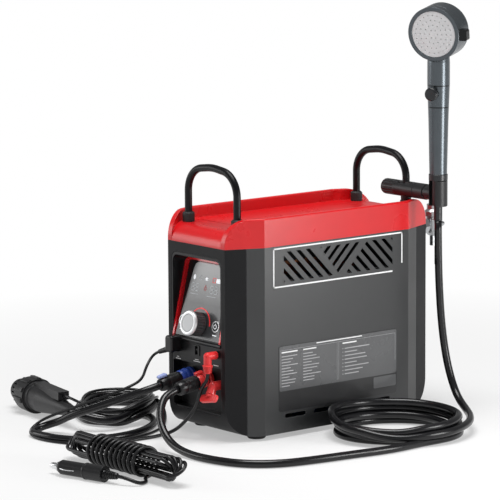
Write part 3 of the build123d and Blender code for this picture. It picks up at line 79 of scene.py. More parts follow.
# hoses and cables: each is one smooth line through listed points, in metres
cords = {
    "inletHose": {"width": 0.011, "points": [
        (-.22761, .027, .07434), (-.24731, .027, .07087), (-.272, .052, .059), (-.297, .085, .043),
        (-.3135, .12, .029), (-.3185, .1438, .0165), (-.326, .1567, .0115), (-.34, .1618, .0075),
        (-.354, .1567, .0056), (-.3615, .1438, .0056), (-.3605, .122, .0056), (-.356, .095, .0056),
        (-.338, .065, .0056), (-.299, .049, .0056),
        (-.248, .052, .0056), (-.203, .078, .0056)]},
    "pumpCable": {"width": 0.004, "points": [
        (-.1995, .066, .1125), (-.20091, .07725, .10856), (-.217, .073, .094), (-.24, .053, .08),
        (-.262, .052, .073), (-.285, .069, .0615), (-.304, .094, .05), (-.318, .127, .035),
        (-.331, .155, .0225), (-.345, .165, .012), (-.361, .156, .005), (-.3685, .132, .0022),
        (-.365, .096, .0022), (-.346, .057, .0022), (-.304, .0395, .0022), (-.25, .0415, .0022),
        (-.194, .067, .0022)]},
    "showerHose": {"width": 0.011, "points": [
        (-.22761, -.012, .07434), (-.24731, -.012, .07087), (-.264, -.019, .056), (-.276, -.034, .034),
        (-.28, -.062, .013), (-.281, -.102, .0056), (-.278, -.15, .0056), (-.262, -.196, .0056),
        (-.226, -.226, .0056), (-.176, -.238, .0056), (-.115, -.246, .0056), (-.052, -.257, .0056),
        (.006, -.2525, .0056)]},
    "supplyLead": {"width": 0.005, "points": [
        (-.2015, -.045, .098), (-.2015, -.045, .089), (-.202, -.034, .079), (-.2, -.025, .066),
        (-.2, -.017, .046), (-.204, .002, .024), (-.211, .018, .009), (-.225, .026, .004),
        (-.246, .028, .0027), (-.27, .031, .0027), (-.3, .027, .0027), (-.334, .018, .0027),
        (-.362, .008, .005), (-.38, .002, .012)]},
}


coilAlong = (0.776, -0.631)    # the coils' shared first axis; their second stands across it


def fromCoil(spot, points):
    cx, cy = spot["centre"]
    ux, uy = coilAlong
    return [(cx + a * ux - b * uy, cy + a * uy + b * ux, z) for a, b, z in points]


def smooth(t):
    t = max(0, min(1, t))
    return t * t * (3 - 2 * t)


# the inlet hose crosses the middle of its coil, then winds nearly three turns: inner, outer, and one on top;
# half widths, straight parts and heights are given turn by turn
hoseCoil = {"centre": (-.184, .188), "half": (.0455, .0565, .051), "straight": (.023, .0275, .028),
            "low": (.0056, .0056, .0152), "start": 158, "turns": 2.6, "steps": 18,
            "hump": .0115, "humpAt": -22, "humpWide": 46, "lastRise": 0}
hoseRun = [(.056, -.07, .0056), (.051, -.043, .0056), (.035, -.018, .0056), (.012, -.006, .0056),
           (-.01, -.001, .0056), (-.033, .008, .0056), (-.047, .027, .0056), (-.044, .045, .0056)]


def byTurn(values, turn):
    # the value of each turn, with a soft change near the end of the turn before
    low = min(int(turn), len(values) - 1)
    high = min(low + 1, len(values) - 1)
    return values[low] + (values[high] - values[low]) * smooth((turn - low - 0.62) / 0.36)


def coilAround(spot):
    # turns with straight sides run clockwise and ride over the hose that comes in under them
    points = []
    count = round(spot["turns"] * spot["steps"])
    for index in range(count + 1):
        turn = index / count * spot["turns"]
        theta = math.radians(spot["start"]) - turn * math.tau
        off = math.degrees(theta) - spot["humpAt"]
        off = abs((off + 180) % 360 - 180)
        rise = spot["hump"] * smooth(1.4 - off / spot["humpWide"])
        rise += spot["lastRise"] * smooth((turn - spot["turns"] + 0.22) / 0.18)
        z = byTurn(spot["low"], turn) + rise
        half, straight = byTurn(spot["half"], turn), byTurn(spot["straight"], turn)
        up = math.sin(theta)
        points.append((half * math.cos(theta), half * up + straight * max(-1, min(1, 1.6 * up)), z))
    return fromCoil(spot, points)


cords["inletHose"]["points"] += fromCoil(hoseCoil, hoseRun) + coilAround(hoseCoil)[2:] + [
    (-.232, .1095, .0165), (-.2572, .1067, .015), (-.2786, .1196, .019), (-.28883, .14237, .025),
    (-.285, .162, .025)]

# the thin pump cable lies on the hose turns
cableCoil = {**hoseCoil, "half": (.0425, .051, .0592), "straight": (.024, .028, .0275),
             "low": (.0128, .023, .0128), "start": 150, "turns": 2.578, "lastRise": .0118}
cableRun = [(.072, -.044, .006), (.066, -.012, .019), (.052, .012, .025), (.03, .023, .02),
            (.004, .027, .0145), (-.02, .027, .0135), (-.036, .033, .013), (-.042, .045, .0128),
            (-.033, .058, .0128)]
cords["pumpCable"]["points"] += fromCoil(cableCoil, cableRun) + coilAround(cableCoil)[2:] + [
    (-.226, .113, .025), (-.243, .1165, .025), (-.262, .121, .0255), (-.277, .136, .035),
    (-.2842, .1659, .043), (-.2808, .1836, .043)]

# the shower hose: four turns, stacked at the rear and nested lower at the front;
# each row is the angle in degrees, the shift outwards and the height, both in millimetres
showerCoil = {"centre": (.0315, -.1735), "across": .086, "deep": .074, "step": 18, "shift": .003, "rows": [
    (-68, -3, 5.6), (0, 0, 5.6), (90, 3, 5.6), (180, -5, 5.6), (270, -11.5, 5.6), (300, -13, 6),
    (360, -11, 8.5), (450, -4, 14.5), (540, -6, 16.5), (630, -3, 10), (660, -5.75, 15.3), (720, -1.5, 17),
    (810, 3, 23.5), (900, .5, 25), (990, 2, 19.5), (1020, 0, 24.8), (1080, -2, 28), (1170, -3, 32.4),
    (1260, 3, 34.5), (1305, 10.5, 24), (1350, 9, 12.5), (1380, 6.5, 15.5), (1424, 8, 18)]}


def showerTurns(spot):
    points = []
    rows = spot["rows"]
    theta = rows[0][0] + spot["step"]
    while theta <= rows[-1][0]:
        low = max(k for k in range(len(rows) - 1) if rows[k][0] <= theta)
        part = smooth((theta - rows[low][0]) / (rows[low + 1][0] - rows[low][0]))
        out = (rows[low][1] + (rows[low + 1][1] - rows[low][1]) * part) / 1000 + spot["shift"]
        z = (rows[low][2] + (rows[low + 1][2] - rows[low][2]) * part) / 1000
        turn = math.radians(theta)
        points.append(((spot["across"] + out) * math.cos(turn), (spot["deep"] + out) * math.sin(turn), z))
        theta += spot["step"]
    return fromCoil(spot, points)


cords["showerHose"]["points"] += showerTurns(showerCoil) + [
    (.106, -.242, .0185), (.135, -.213, .02), (.153, -.183, .023), (.1625, -.157, .033),
    (.166, -.14, .054), (.165, -.1285, .088), (.1605, -.124, .135), (.157, -.1225, .19),
    (.1555, -.122, .24), (.155, -.122, .2843)]

# the supply lead: six long laps with round folds, then wrapped round its own middle;
# lengths along the bundle are measured from its near end
hank = {"end": (-.396, .013, .0222), "laps": 6, "loop": .0145, "startAngle": -31, "lapAngle": 24,
        "near": .042, "nearStep": .005, "far": .208, "farStep": .0045, "between": (.06, .115, .165),
        "fold": ((1, .006), (.414, .0145)), "flare": 1.06, "flareStep": .06,
        "entry": ((.094, .0155, 3), (.079, .0175, 24), (.07, .019, 58)),
        "wrap": .0195, "ripple": .0003, "wrapFrom": .066, "wrapLong": .11, "wraps": 12.5, "steps": 12}


def hankPoint(radius, angle, s):
    turn = math.radians(angle)
    x, y, z = hank["end"]
    return (x + radius * math.cos(turn), y - s, z + radius * math.sin(turn))


def hankFold(radius, angleIn, angleOut, s, reach):
    # half a turn at the end of a lap, from one side of the bundle to the other
    fold = hank["fold"]
    points = [hankPoint(radius * part, angleIn, s + along * reach) for part, along in fold]
    return points + [hankPoint(radius * part, angleOut, s + along * reach) for part, along in fold[::-1]]


def hankLaps():
    points = []
    r, between = hank["loop"], hank["between"]
    for lap in range(hank["laps"]):
        out = hank["startAngle"] - hank["lapAngle"] * lap
        back = out + 180
        near = hank["near"] - hank["nearStep"] * lap
        far = hank["far"] + hank["farStep"] * lap
        flare = hank["flare"] + hank["flareStep"] * (lap % 3)
        points += [hankPoint(r, out, s) for s in (() if lap else (near,)) + between + (far,)]
        points += hankFold(r * flare, out, back, far, flare)
        if lap == hank["laps"] - 1:
            return points + [hankPoint(r, back, s) for s in (far, *between[:0:-1])]
        points += [hankPoint(r, back, s) for s in (far, *between[::-1], near)]
        points += hankFold(r * flare, back, out - hank["lapAngle"], near, -flare)


def hankWraps():
    points = []
    startAngle = hank["startAngle"] - hank["lapAngle"] * (hank["laps"] - 1) + 180
    for s, radius, turned in hank["entry"]:
        points.append(hankPoint(radius, startAngle - turned, s))
    count = round(hank["wraps"] * hank["steps"])
    first = startAngle - 95
    last = 270 - 360 * 12    # the lead leaves the wraps at their underside
    for index in range(count + 1):
        part = index / count
        angle = first + (last - first) * part
        radius = hank["wrap"] + hank["ripple"] * math.sin(index * 0.7)
        points.append(hankPoint(radius, angle, hank["wrapFrom"] + hank["wrapLong"] * part))
    return points


cords["supplyLead"]["points"] += hankLaps() + hankWraps() + [
    (-.404, -.167, .0027), (-.41, -.177, .0027), (-.418, -.188, .0027), (-.433, -.191, .004),
    (-.44416, -.17606, .011), (-.44725, -.16343, .011)]


def route(name, points, width=None):
    # a clamped second-degree spline through the given points
    data = bpy.data.curves.new(name, "CURVE")
    data.dimensions = "3D"
    spline = data.splines.new("NURBS")
    spline.points.add(len(points) - 1)
    for point, place in zip(spline.points, points):
        point.co = (*place, 1)
        point.radius = (width or 0.01) / 2
    spline.order_u = 3
    spline.use_endpoint_u = True
    data.resolution_u = 6
    if width:
        data.bevel_depth = 1.0
        data.bevel_resolution = 4
        data.use_fill_caps = True
    obj = bpy.data.objects.new(name, data)
    bpy.context.scene.collection.objects.link(obj)
    return obj


def centreLine(name, points):
    # the spline's own line, read from a curve without thickness
    bare = route(name, points)
    mesh = bpy.data.meshes.new_from_object(bare.evaluated_get(bpy.context.evaluated_depsgraph_get()))
    line = [v.co.copy() for v in mesh.vertices]
    bpy.data.objects.remove(bare)
    bpy.data.meshes.remove(mesh)
    return line


def place(mesh, name, body="heater", slot=None, material=None):
    obj = bpy.data.objects.new(name, mesh)
    bpy.context.scene.collection.objects.link(obj)
    if material:
        mesh.materials.append(material)
    if body:
        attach(obj, body)
    return obj


def tubeAlong(line, width, sides=14):
    # a round tube that carries its frame along the line without twisting
    bm = bmesh.new()
    rings = []
    along = (line[1] - line[0]).normalized()
    side = along.orthogonal().normalized()
    for index, point in enumerate(line):
        ahead = line[min(index + 1, len(line) - 1)] - line[max(index - 1, 0)]
        ahead.normalize()
        side = (side - ahead * side.dot(ahead)).normalized()
        start = Matrix.Translation(point) @ turnTo(ahead, side)
        made = bmesh.ops.create_circle(bm, segments=sides, radius=width / 2, matrix=start)
        rings.append(made["verts"])
    for low, high in zip(rings, rings[1:]):
        for index in range(sides):
            after = (index + 1) % sides
            bm.faces.new((low[index], low[after], high[after], high[index]))
    bm.faces.new(reversed(rings[0]))
    bm.faces.new(rings[-1])
    bmesh.ops.recalc_face_normals(bm, faces=bm.faces[:])
    for face in bm.faces:
        face.smooth = len(face.verts) == 4
    mesh = bpy.data.meshes.new("tube")
    bm.to_mesh(mesh)
    bm.free()
    return mesh


inletHose = route("inletHose", cords["inletHose"]["points"], cords["inletHose"]["width"])
pumpCable = route("pumpCable", cords["pumpCable"]["points"], cords["pumpCable"]["width"])
supplyLead = route("supplyLead", cords["supplyLead"]["points"], cords["supplyLead"]["width"])
for obj in (inletHose, pumpCable, supplyLead):
    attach(obj, "heater")
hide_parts("inlet_hose", "inlet_hose_coil")
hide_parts("pump_cable")
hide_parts("power_cable", "power_hank")

showerLine = centreLine("showerLine", cords["showerHose"]["points"])
showerHose = place(tubeAlong(showerLine, cords["showerHose"]["width"]), "showerHose", None, "hose_black")
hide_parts("shower_hose", "shower_hose_coil")
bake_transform(showerHose)
slackLine = [Vector((.1553 - .0003 * t, -.122, .222 + .064 * t)) for t in (0, .25, .5, .75, 1)]
hoseSlack = place(tubeAlong(slackLine, .0104), "hoseSlack", "handset", "hose_black")

print("hoses and cables laid")


# shared shader groups
def group(name, inputs, outputs):
    tree = bpy.data.node_groups.new(name, "ShaderNodeTree")
    for label, kind, value in inputs:
        socket = tree.interface.new_socket(name=label, in_out="INPUT", socket_type="NodeSocket" + kind)
        socket.default_value = value
    for label, kind in outputs:
        tree.interface.new_socket(name=label, in_out="OUTPUT", socket_type="NodeSocket" + kind)
    return tree, tree.nodes.new("NodeGroupInput"), tree.nodes.new("NodeGroupOutput")


def add(tree, kind, **settings):
    node = tree.nodes.new("ShaderNode" + kind)
    for key, value in settings.items():
        if hasattr(node, key):
            setattr(node, key, value)
        else:
            node.inputs[key.replace("_", " ")].default_value = value
    return node


def maths(tree, operation, a, b=None):
    node = tree.nodes.new("ShaderNodeMath")
    node.operation = operation
    for socket, value in zip(node.inputs, (a, b)):
        if value is None:
            continue
        if isinstance(value, (int, float)):
            socket.default_value = value
        else:
            tree.links.new(value, socket)
    return node.outputs[0]


def spread(tree, value, low, high, outLow=0.0, outHigh=1.0):
    node = tree.nodes.new("ShaderNodeMapRange")
    for key, setting in (("From Min", low), ("From Max", high), ("To Min", outLow), ("To Max", outHigh)):
        node.inputs[key].default_value = setting
    tree.links.new(value, node.inputs["Value"])
    return node.outputs["Result"]


# moulded grain: fine pebbling as height, and a slow cloud as mask
grainTree, gIn, gOut = group("mouldedGrain", [("Fine", "Float", 900.0), ("Cloud", "Float", 14.0)],
                             [("Height", "Float"), ("Mask", "Float")])
coords = add(grainTree, "TexCoord")
fine = add(grainTree, "TexNoise", Detail=2.0, Roughness=0.55)
cloud = add(grainTree, "TexNoise", Detail=4.0, Roughness=0.6)
for node, label in ((fine, "Fine"), (cloud, "Cloud")):
    grainTree.links.new(coords.outputs["Object"], node.inputs["Vector"])
    grainTree.links.new(gIn.outputs[label], node.inputs["Scale"])
grainTree.links.new(fine.outputs["Fac"], gOut.inputs["Height"])
grainTree.links.new(spread(grainTree, cloud.outputs["Fac"], 0.3, 0.7), gOut.inputs["Mask"])

# softened edges: a rounded normal, and a mask that is high along edges, for a painted edge highlight
edgeTree, eIn, eOut = group("softEdge", [("Radius", "Float", 0.0006), ("Height", "Float", 0.5),
                                         ("Strength", "Float", 0.1), ("Depth", "Float", 0.0002)],
                            [("Normal", "Vector"), ("Edge", "Float")])
bevel = add(edgeTree, "Bevel", samples=4)
edgeTree.links.new(eIn.outputs["Radius"], bevel.inputs["Radius"])
bump = add(edgeTree, "Bump")
for label, socket in (("Strength", "Strength"), ("Depth", "Distance"), ("Height", "Height")):
    edgeTree.links.new(eIn.outputs[label], bump.inputs[socket])
edgeTree.links.new(bevel.outputs["Normal"], bump.inputs["Normal"])
edgeTree.links.new(bump.outputs["Normal"], eOut.inputs["Normal"])
geometry = add(edgeTree, "NewGeometry")
dot = add(edgeTree, "VectorMath", operation="DOT_PRODUCT")
edgeTree.links.new(bevel.outputs["Normal"], dot.inputs[0])
edgeTree.links.new(geometry.outputs["Normal"], dot.inputs[1])
edgeTree.links.new(spread(edgeTree, dot.outputs["Value"], 0.995, 0.9), eOut.inputs["Edge"])

# dust that settles on faces that look up, broken by noise
dustTree, dIn, dOut = group("restingDust", [("Amount", "Float", 0.15)], [("Mask", "Float")])
face = add(dustTree, "NewGeometry")
parts = add(dustTree, "SeparateXYZ")
dustTree.links.new(face.outputs["Normal"], parts.inputs[0])
dustCoords = add(dustTree, "TexCoord")
speck = add(dustTree, "TexNoise", Scale=60.0, Detail=6.0, Roughness=0.7)
dustTree.links.new(dustCoords.outputs["Object"], speck.inputs["Vector"])
up = spread(dustTree, parts.outputs["Z"], 0.5, 1.0)
patch = spread(dustTree, speck.outputs["Fac"], 0.45, 0.75)
dustTree.links.new(maths(dustTree, "MULTIPLY", maths(dustTree, "MULTIPLY", up, patch), dIn.outputs["Amount"]),
                   dOut.inputs["Mask"])


def useGroup(tree, which, **settings):
    node = tree.nodes.new("ShaderNodeGroup")
    node.node_tree = which
    for key, value in settings.items():
        node.inputs[key].default_value = value
    return node


def mixColour(tree, factor, a, b):
    node = tree.nodes.new("ShaderNodeMix")
    node.data_type = "RGBA"
    sockets = [s for s in node.inputs if s.enabled]
    for socket, value in zip(sockets, (factor, a, b)):
        if isinstance(value, tuple):
            socket.default_value = (*value, 1)
        else:
            tree.links.new(value, socket)
    return [s for s in node.outputs if s.enabled][0]


materials = {}


def finish(name, colour, other, rough=0.4, roughSpread=0.08, metal=0.0, fine=900.0, cloud=14.0,
           grain=0.12, depth=0.0002, edge=0.0006, edgeHighlight=None, edgeHighlightAmount=0.35, dust=0.0, coat=0.0,
           coatRough=0.1, paintedGlow=0.0, ior=1.5, shine=0.5, special=None):
    # one maker for every plain finish; colour drifts to other through the cloud mask
    material = bpy.data.materials.new(name)
    material.use_nodes = True
    tree = material.node_tree
    shader = tree.nodes["Principled BSDF"]
    texture = useGroup(tree, grainTree, Fine=fine, Cloud=cloud)
    rounded = useGroup(tree, edgeTree, Radius=edge, Strength=grain, Depth=depth)
    tree.links.new(texture.outputs["Height"], rounded.inputs["Height"])
    tree.links.new(rounded.outputs["Normal"], shader.inputs["Normal"])
    tone = mixColour(tree, texture.outputs["Mask"], colour, other)
    # along edges the colour turns lighter: a painted highlight, as light catches rounded edges
    if edgeHighlight:
        paintedEdgeHighlight = maths(tree, "MULTIPLY", rounded.outputs["Edge"], edgeHighlightAmount)
        tone = mixColour(tree, paintedEdgeHighlight, tone, edgeHighlight)
    if dust:
        laid = useGroup(tree, dustTree, Amount=dust)
        tone = mixColour(tree, laid.outputs["Mask"], tone, (0.45, 0.44, 0.42))
    if special:
        tone = special(tree, tone)
    tree.links.new(tone, shader.inputs["Base Color"])
    tree.links.new(spread(tree, texture.outputs["Mask"], 0, 1, rough, rough + roughSpread),
                   shader.inputs["Roughness"])
    shader.inputs["Metallic"].default_value = metal
    shader.inputs["IOR"].default_value = ior
    shader.inputs["Specular IOR Level"].default_value = shine
    if coat:
        shader.inputs["Coat Weight"].default_value = coat
        shader.inputs["Coat Roughness"].default_value = coatRough
    # a glow adds painted light to the colour, for parts that are no lamp
    if paintedGlow:
        tree.links.new(tone, shader.inputs["Emission Color"])
        shader.inputs["Emission Strength"].default_value = paintedGlow
    materials[name] = material


def objectAxis(tree, origin, axis):
    # distance of a point along an axis, from Object coordinates
    coordinate = add(tree, "TexCoord")
    shift = add(tree, "VectorMath", operation="SUBTRACT")
    tree.links.new(coordinate.outputs["Object"], shift.inputs[0])
    shift.inputs[1].default_value = origin
    product = add(tree, "VectorMath", operation="DOT_PRODUCT")
    tree.links.new(shift.outputs[0], product.inputs[0])
    product.inputs[1].default_value = axis
    return product.outputs["Value"]


finish("blackCasing", (.022, .023, .024), (.017, .018, .019), rough=.32, shine=.62, grain=.35, fine=1300,
       depth=.00015, edgeHighlight=(.16, .16, .17), dust=.05, edge=.0008)
finish("blackCover", (.008, .008, .009), (.006, .006, .007), rough=.44, shine=.2, grain=.4, fine=1300,
       depth=.00015, edgeHighlight=(.12, .12, .13), dust=.04, edge=.001)
finish("redCover", (.7, .008, .012), (.62, .006, .009), rough=.26, roughSpread=.06, grain=.06, fine=700,
       edgeHighlight=(.85, .1, .09), edgeHighlightAmount=.25, dust=.02, edge=.001)
finish("blackRod", (.005, .005, .006), (.004, .004, .005), rough=.28, shine=.2, grain=.18, fine=1600,
       depth=.0001, edgeHighlight=(.1, .1, .1))
finish("blackRubber", (.014, .014, .015), (.022, .022, .022), rough=.62, grain=.4, fine=1800)
finish("fasciaBlack", (.01, .01, .011), (.008, .008, .009), rough=.3, shine=.35, grain=.12, fine=1400,
       edge=.0005)
finish("trimRed", (.85, .012, .02), (.75, .01, .016), rough=.22, grain=.06, coat=.5, coatRough=.06)
finish("boardGreen", (.012, .085, .03), (.018, .11, .04), rough=.42, grain=.2, fine=2600)
finish("brightSteel", (.62, .63, .64), (.5, .51, .52), rough=.2, metal=1.0, grain=.1, fine=1800, ior=2.5)
finish("sheetSteel", (.46, .47, .48), (.36, .37, .38), rough=.36, metal=1.0, grain=.25, fine=420)
finish("regulatorMetal", (.52, .53, .54), (.4, .41, .42), rough=.26, metal=1.0, grain=.15, fine=900)
finish("copperTube", (.72, .3, .16), (.5, .19, .1), rough=.28, metal=1.0, grain=.15, fine=600)
finish("brassBody", (.7, .48, .2), (.58, .38, .15), rough=.3, metal=1.0, grain=.15, fine=700)
finish("plugBlack", (.008, .008, .009), (.006, .006, .007), rough=.28, shine=.4, grain=.3, fine=1500,
       edgeHighlight=(.1, .1, .1))
finish("plugRed", (.88, .035, .035), (.78, .025, .028), rough=.32, grain=.15, edgeHighlight=(.8, .15, .13))
finish("drainRed", (.92, .055, .055), (.84, .04, .042), rough=.3, grain=.12, coat=.3, edgeHighlight=(.9, .2, .18))
finish("darkRed", (.3, .012, .014), (.24, .01, .012), rough=.34, grain=.15)
finish("fittingBlue", (.03, .09, .48), (.024, .07, .38), rough=.3, grain=.12, edgeHighlight=(.15, .22, .5))
finish("hoseBlack", (.005, .005, .006), (.008, .008, .009), rough=.17, roughSpread=.1, grain=.03, fine=300,
       edge=0, cloud=26, shine=.4)
finish("cableBlack", (.004, .004, .005), (.007, .007, .008), rough=.3, roughSpread=.08, grain=.03, fine=500,
       edge=0, cloud=40, shine=.4)
gripSeams = {"levels": (.446, .4765), "half": .0005, "colour": (.012, .013, .014)}


def seamTone(tree, tone):
    # dark joints round the grip, above and below its button
    height = objectAxis(tree, (0, 0, 0), (0, 0, 1))
    for level in gripSeams["levels"]:
        off = maths(tree, "ABSOLUTE", maths(tree, "SUBTRACT", height, level))
        line = spread(tree, off, gripSeams["half"], gripSeams["half"] * 2, 1.0, 0.0)
        tone = mixColour(tree, line, tone, gripSeams["colour"])
    return tone


handsetGrey = {"colour": (.088, .101, .111), "other": (.076, .088, .098), "rough": .22, "roughSpread": .06,
               "metal": .7, "grain": .06, "fine": 1500, "edgeHighlight": (.3, .32, .34)}
finish("gripGrey", **handsetGrey, special=seamTone)
leverKnob = {"centre": (.160455, -.119628, .552783), "across": (.3986, -.9171, 0), "from": .0387, "soft": .0003,
             "colour": (.01, .011, .012)}


def leverTone(tree, tone):
    # the ring matches the head, and its thumb piece is black
    reach = objectAxis(tree, leverKnob["centre"], leverKnob["across"])
    outside = spread(tree, reach, leverKnob["from"], leverKnob["from"] + leverKnob["soft"])
    return mixColour(tree, outside, tone, leverKnob["colour"])


finish("ringGrey", **handsetGrey, special=leverTone)
finish("headBlack", (.016, .018, .02), (.012, .013, .015), rough=.24, shine=.4, grain=.12, fine=1400,
       edgeHighlight=(.16, .17, .18))
finish("gasBlack", (.01, .01, .011), (.015, .015, .016), rough=.36, shine=.4, grain=.3, fine=900,
       edgeHighlight=(.12, .12, .12))
finish("cellWrap", (.03, .07, .19), (.024, .055, .15), rough=.32, grain=.15, fine=300,
       edgeHighlight=(.2, .25, .4))
finish("printWhite", (.97, .97, .97), (.92, .92, .92), rough=.42, grain=.15, fine=2400)
finish("plateGrey", (.1, .102, .105), (.08, .082, .085), rough=.24, grain=.08, fine=1800, coat=.4)
finish("plateMark", (.5, .5, .51), (.42, .42, .43), rough=.4, grain=.1, fine=1800)
finish("plateBlack", (.01, .01, .011), (.014, .014, .015), rough=.26, grain=.08, fine=1800, coat=.2)
finish("paleFace", (.7, .71, .72), (.62, .63, .64), rough=.34, grain=.12, fine=1600, edgeHighlight=(.9, .9, .9))
finish("knobDark", (.17, .175, .18), (.14, .145, .15), rough=.28, metal=.6, grain=.06, fine=1500)
finish("knobPale", (.62, .63, .64), (.56, .57, .58), rough=.34, grain=.06, fine=1800)
finish("bezelSilver", (.9, .91, .92), (.84, .85, .86), rough=.26, metal=.55, grain=.04, fine=2000)
# the duct behind the grille is near black, darker than its steel: painted shade behind the slots
finish("shadedDuctSteel", (.02, .02, .022), (.012, .012, .013), rough=.5, metal=.6, grain=.25, fine=420)
finish("portGreen", (.03, .11, .045), (.022, .08, .034), rough=.35, grain=.1)
finish("chromeRing", (.82, .83, .84), (.74, .75, .76), rough=.12, metal=1.0, grain=.05, fine=2000)
# the signs are print, no lamp, yet glow a little: painted light that brightens them
finish("signWhite", (.95, .97, 1.0), (.88, .9, .94), rough=.3, paintedGlow=.45)
finish("signDim", (.42, .44, .46), (.34, .36, .38), rough=.3, paintedGlow=.35)
finish("signRed", (.85, .03, .03), (.75, .02, .02), rough=.3, paintedGlow=.35)
finish("signRedDim", (.4, .05, .05), (.32, .04, .04), rough=.3, paintedGlow=.25)
finish("paleBlue", (.4, .48, .84), (.33, .41, .76), rough=.32, grain=.1)
panelFade = {"origin": (-.185, 0, .137), "up": (.225, 0, .9744), "low": .05, "high": .112,
             "colour": (.56, .565, .57)}


def panelTone(tree, tone):
    # dark grey behind the knob that turns pale towards the top
    height = objectAxis(tree, panelFade["origin"], panelFade["up"])
    return mixColour(tree, spread(tree, height, panelFade["low"], panelFade["high"]), tone, panelFade["colour"])


finish("panelGrey", (.048, .049, .051), (.042, .043, .046), rough=.28, grain=.12, fine=1600, coat=.3,
       edgeHighlight=(.45, .45, .46), special=panelTone)

carried = {
    "blackCasing": ["side_panel_near", "side_panel_far", "base_plate"],
    "blackCover": ["front_cover", "rear_cover"],
    "redCover": ["top_cover"],
    "blackRod": ["handle_front", "handle_rear"],
    "blackRubber": ["rubber_feet", "handle_grommets"],
    "fasciaBlack": ["front_fascia", "power_sockets", "usb_port"],
    "trimRed": ["fascia_trim"],
    "panelGrey": ["control_panel"],
    "boardGreen": ["control_board"],
    "brightSteel": ["casing_screws"],
    "shadedDuctSteel": ["exhaust_duct"],
    "sheetSteel": ["combustion_chamber", "burner", "gas_valve", "knob_encoder"],
    "copperTube": ["heat_exchanger", "water_pipes", "gas_pipe"],
    "brassBody": ["flow_sensor"],
    "cellWrap": ["battery_pack"],
    "plugBlack": ["pump_plug", "igniter", "power_plug", "inlet_coupler", "shower_coupler"],
    "plugRed": ["power_elbow"],
    "fittingBlue": ["inlet_fitting"],
    "darkRed": ["outlet_fitting"],
    "drainRed": ["drain_knob", "drain_valve_body"],
    "gasBlack": ["clamp_body", "clamp_knob", "cradle", "pump_body", "pump_strainer"],
    "knobDark": ["temperature_knob"],
    "headBlack": ["stop_button", "handset_collar", "button_left", "button_right"],
    "gripGrey": ["handset_grip", "spray_head"],
    "ringGrey": ["spray_lever"],
    "paleFace": ["spray_plate"],
    "knobPale": ["knob_cap"],
    "regulatorMetal": ["gas_regulator"],
}

for look, names in carried.items():
    for node in names:
        slots = nodes[node].material_slots
        if not slots:
            nodes[node].data.materials.append(materials[look])
        for item in slots:
            item.material = materials[look]
dressed = {node for names in carried.values() for node in names}
print("materials set on", len(dressed), "nodes; bare:", sorted(set(nodes) - dressed))
for obj, look in ((inletHose, "hoseBlack"), (pumpCable, "cableBlack"), (supplyLead, "cableBlack"),
                  (showerHose, "hoseBlack"), (hoseSlack, "hoseBlack")):
    obj.data.materials.append(materials[look])


# small pieces made in Blender
def settle(bm, name, origin, axes, look, slot, body="heater", angle=35):
    # faces outwards, shaded smooth up to the angle, and laid in its place
    bmesh.ops.recalc_face_normals(bm, faces=bm.faces[:])
    bmesh.ops.transform(bm, matrix=Matrix.Translation(origin) @ axes, verts=bm.verts[:])
    for face in bm.faces:
        face.smooth = True
    mesh = bpy.data.meshes.new(name)
    bm.to_mesh(mesh)
    bm.free()
    mesh.set_sharp_from_angle(angle=math.radians(angle))
    place(mesh, name, body, slot, materials[look])


def turnedPiece(name, origin, axis, profile, look, slot, body="heater", steps=56):
    # a closed outline of radius and height, spun round an axis
    bm = bmesh.new()
    verts = [bm.verts.new((r, 0, h)) for r, h in profile]
    edges = [bm.edges.new(pair) for pair in zip(verts, verts[1:] + verts[:1])]
    bmesh.ops.spin(bm, geom=verts + edges, cent=(0, 0, 0), axis=(0, 0, 1), angle=math.tau, steps=steps,
                   use_merge=True)
    bmesh.ops.remove_doubles(bm, verts=bm.verts[:], dist=1e-6)
    bmesh.ops.dissolve_degenerate(bm, edges=bm.edges[:], dist=1e-7)
    settle(bm, name, origin, turnTo(axis, (0, 1, 0)), look, slot, body)


def printed(name, frameAt, shapes, thick, look, slot="silver", body="heater", sink=0.0001):
    # flat outlines in the frame's plane, raised a little
    bm = bmesh.new()
    for outline in shapes:
        face = bm.faces.new([bm.verts.new((x, y, -sink)) for x, y in outline])
        made = bmesh.ops.extrude_face_region(bm, geom=[face])["geom"]
        raised = [item for item in made if isinstance(item, bmesh.types.BMVert)]
        bmesh.ops.translate(bm, vec=(0, 0, thick + sink), verts=raised)
    settle(bm, name, (0, 0, 0), frameAt, look, slot, body, 20)


def rect(x0, y0, x1, y1):
    return [(x0, y0), (x1, y0), (x1, y1), (x0, y1)]


def onCircle(cx, cy, r, start, end, steps):
    turns = [math.radians(start + (end - start) * k / steps) for k in range(steps + 1)]
    return [(cx + r * math.cos(t), cy + r * math.sin(t)) for t in turns]


def roundRect(x0, y0, x1, y1, r, steps=5):
    corners = ((x1 - r, y1 - r, 0), (x0 + r, y1 - r, 90), (x0 + r, y0 + r, 180), (x1 - r, y0 + r, 270))
    return [spot for cx, cy, start in corners for spot in onCircle(cx, cy, r, start, start + 90, steps)]


def arc(cx, cy, radius, width, start, end, steps=24):
    # a bent strip between two angles
    outer = onCircle(cx, cy, radius + width / 2, start, end, steps)
    inner = onCircle(cx, cy, radius - width / 2, start, end, steps)
    return [[outer[k], outer[k + 1], inner[k + 1], inner[k]] for k in range(steps)]


def lines(points, width):
    # straight printed strokes between following points
    made = []
    for (ax, ay), (bx, by) in zip(points, points[1:]):
        far = math.hypot(bx - ax, by - ay)
        ux, uy = (bx - ax) / far * width / 2, (by - ay) / far * width / 2
        made.append([(ax - ux - uy, ay - uy + ux), (ax - ux + uy, ay - uy - ux),
                     (bx + ux + uy, by + uy - ux), (bx + ux - uy, by + uy + ux)])
    return made


nearSide = Matrix.Translation((0, -.085, 0)) @ turnTo((0, -1, 0), (1, 0, 0))
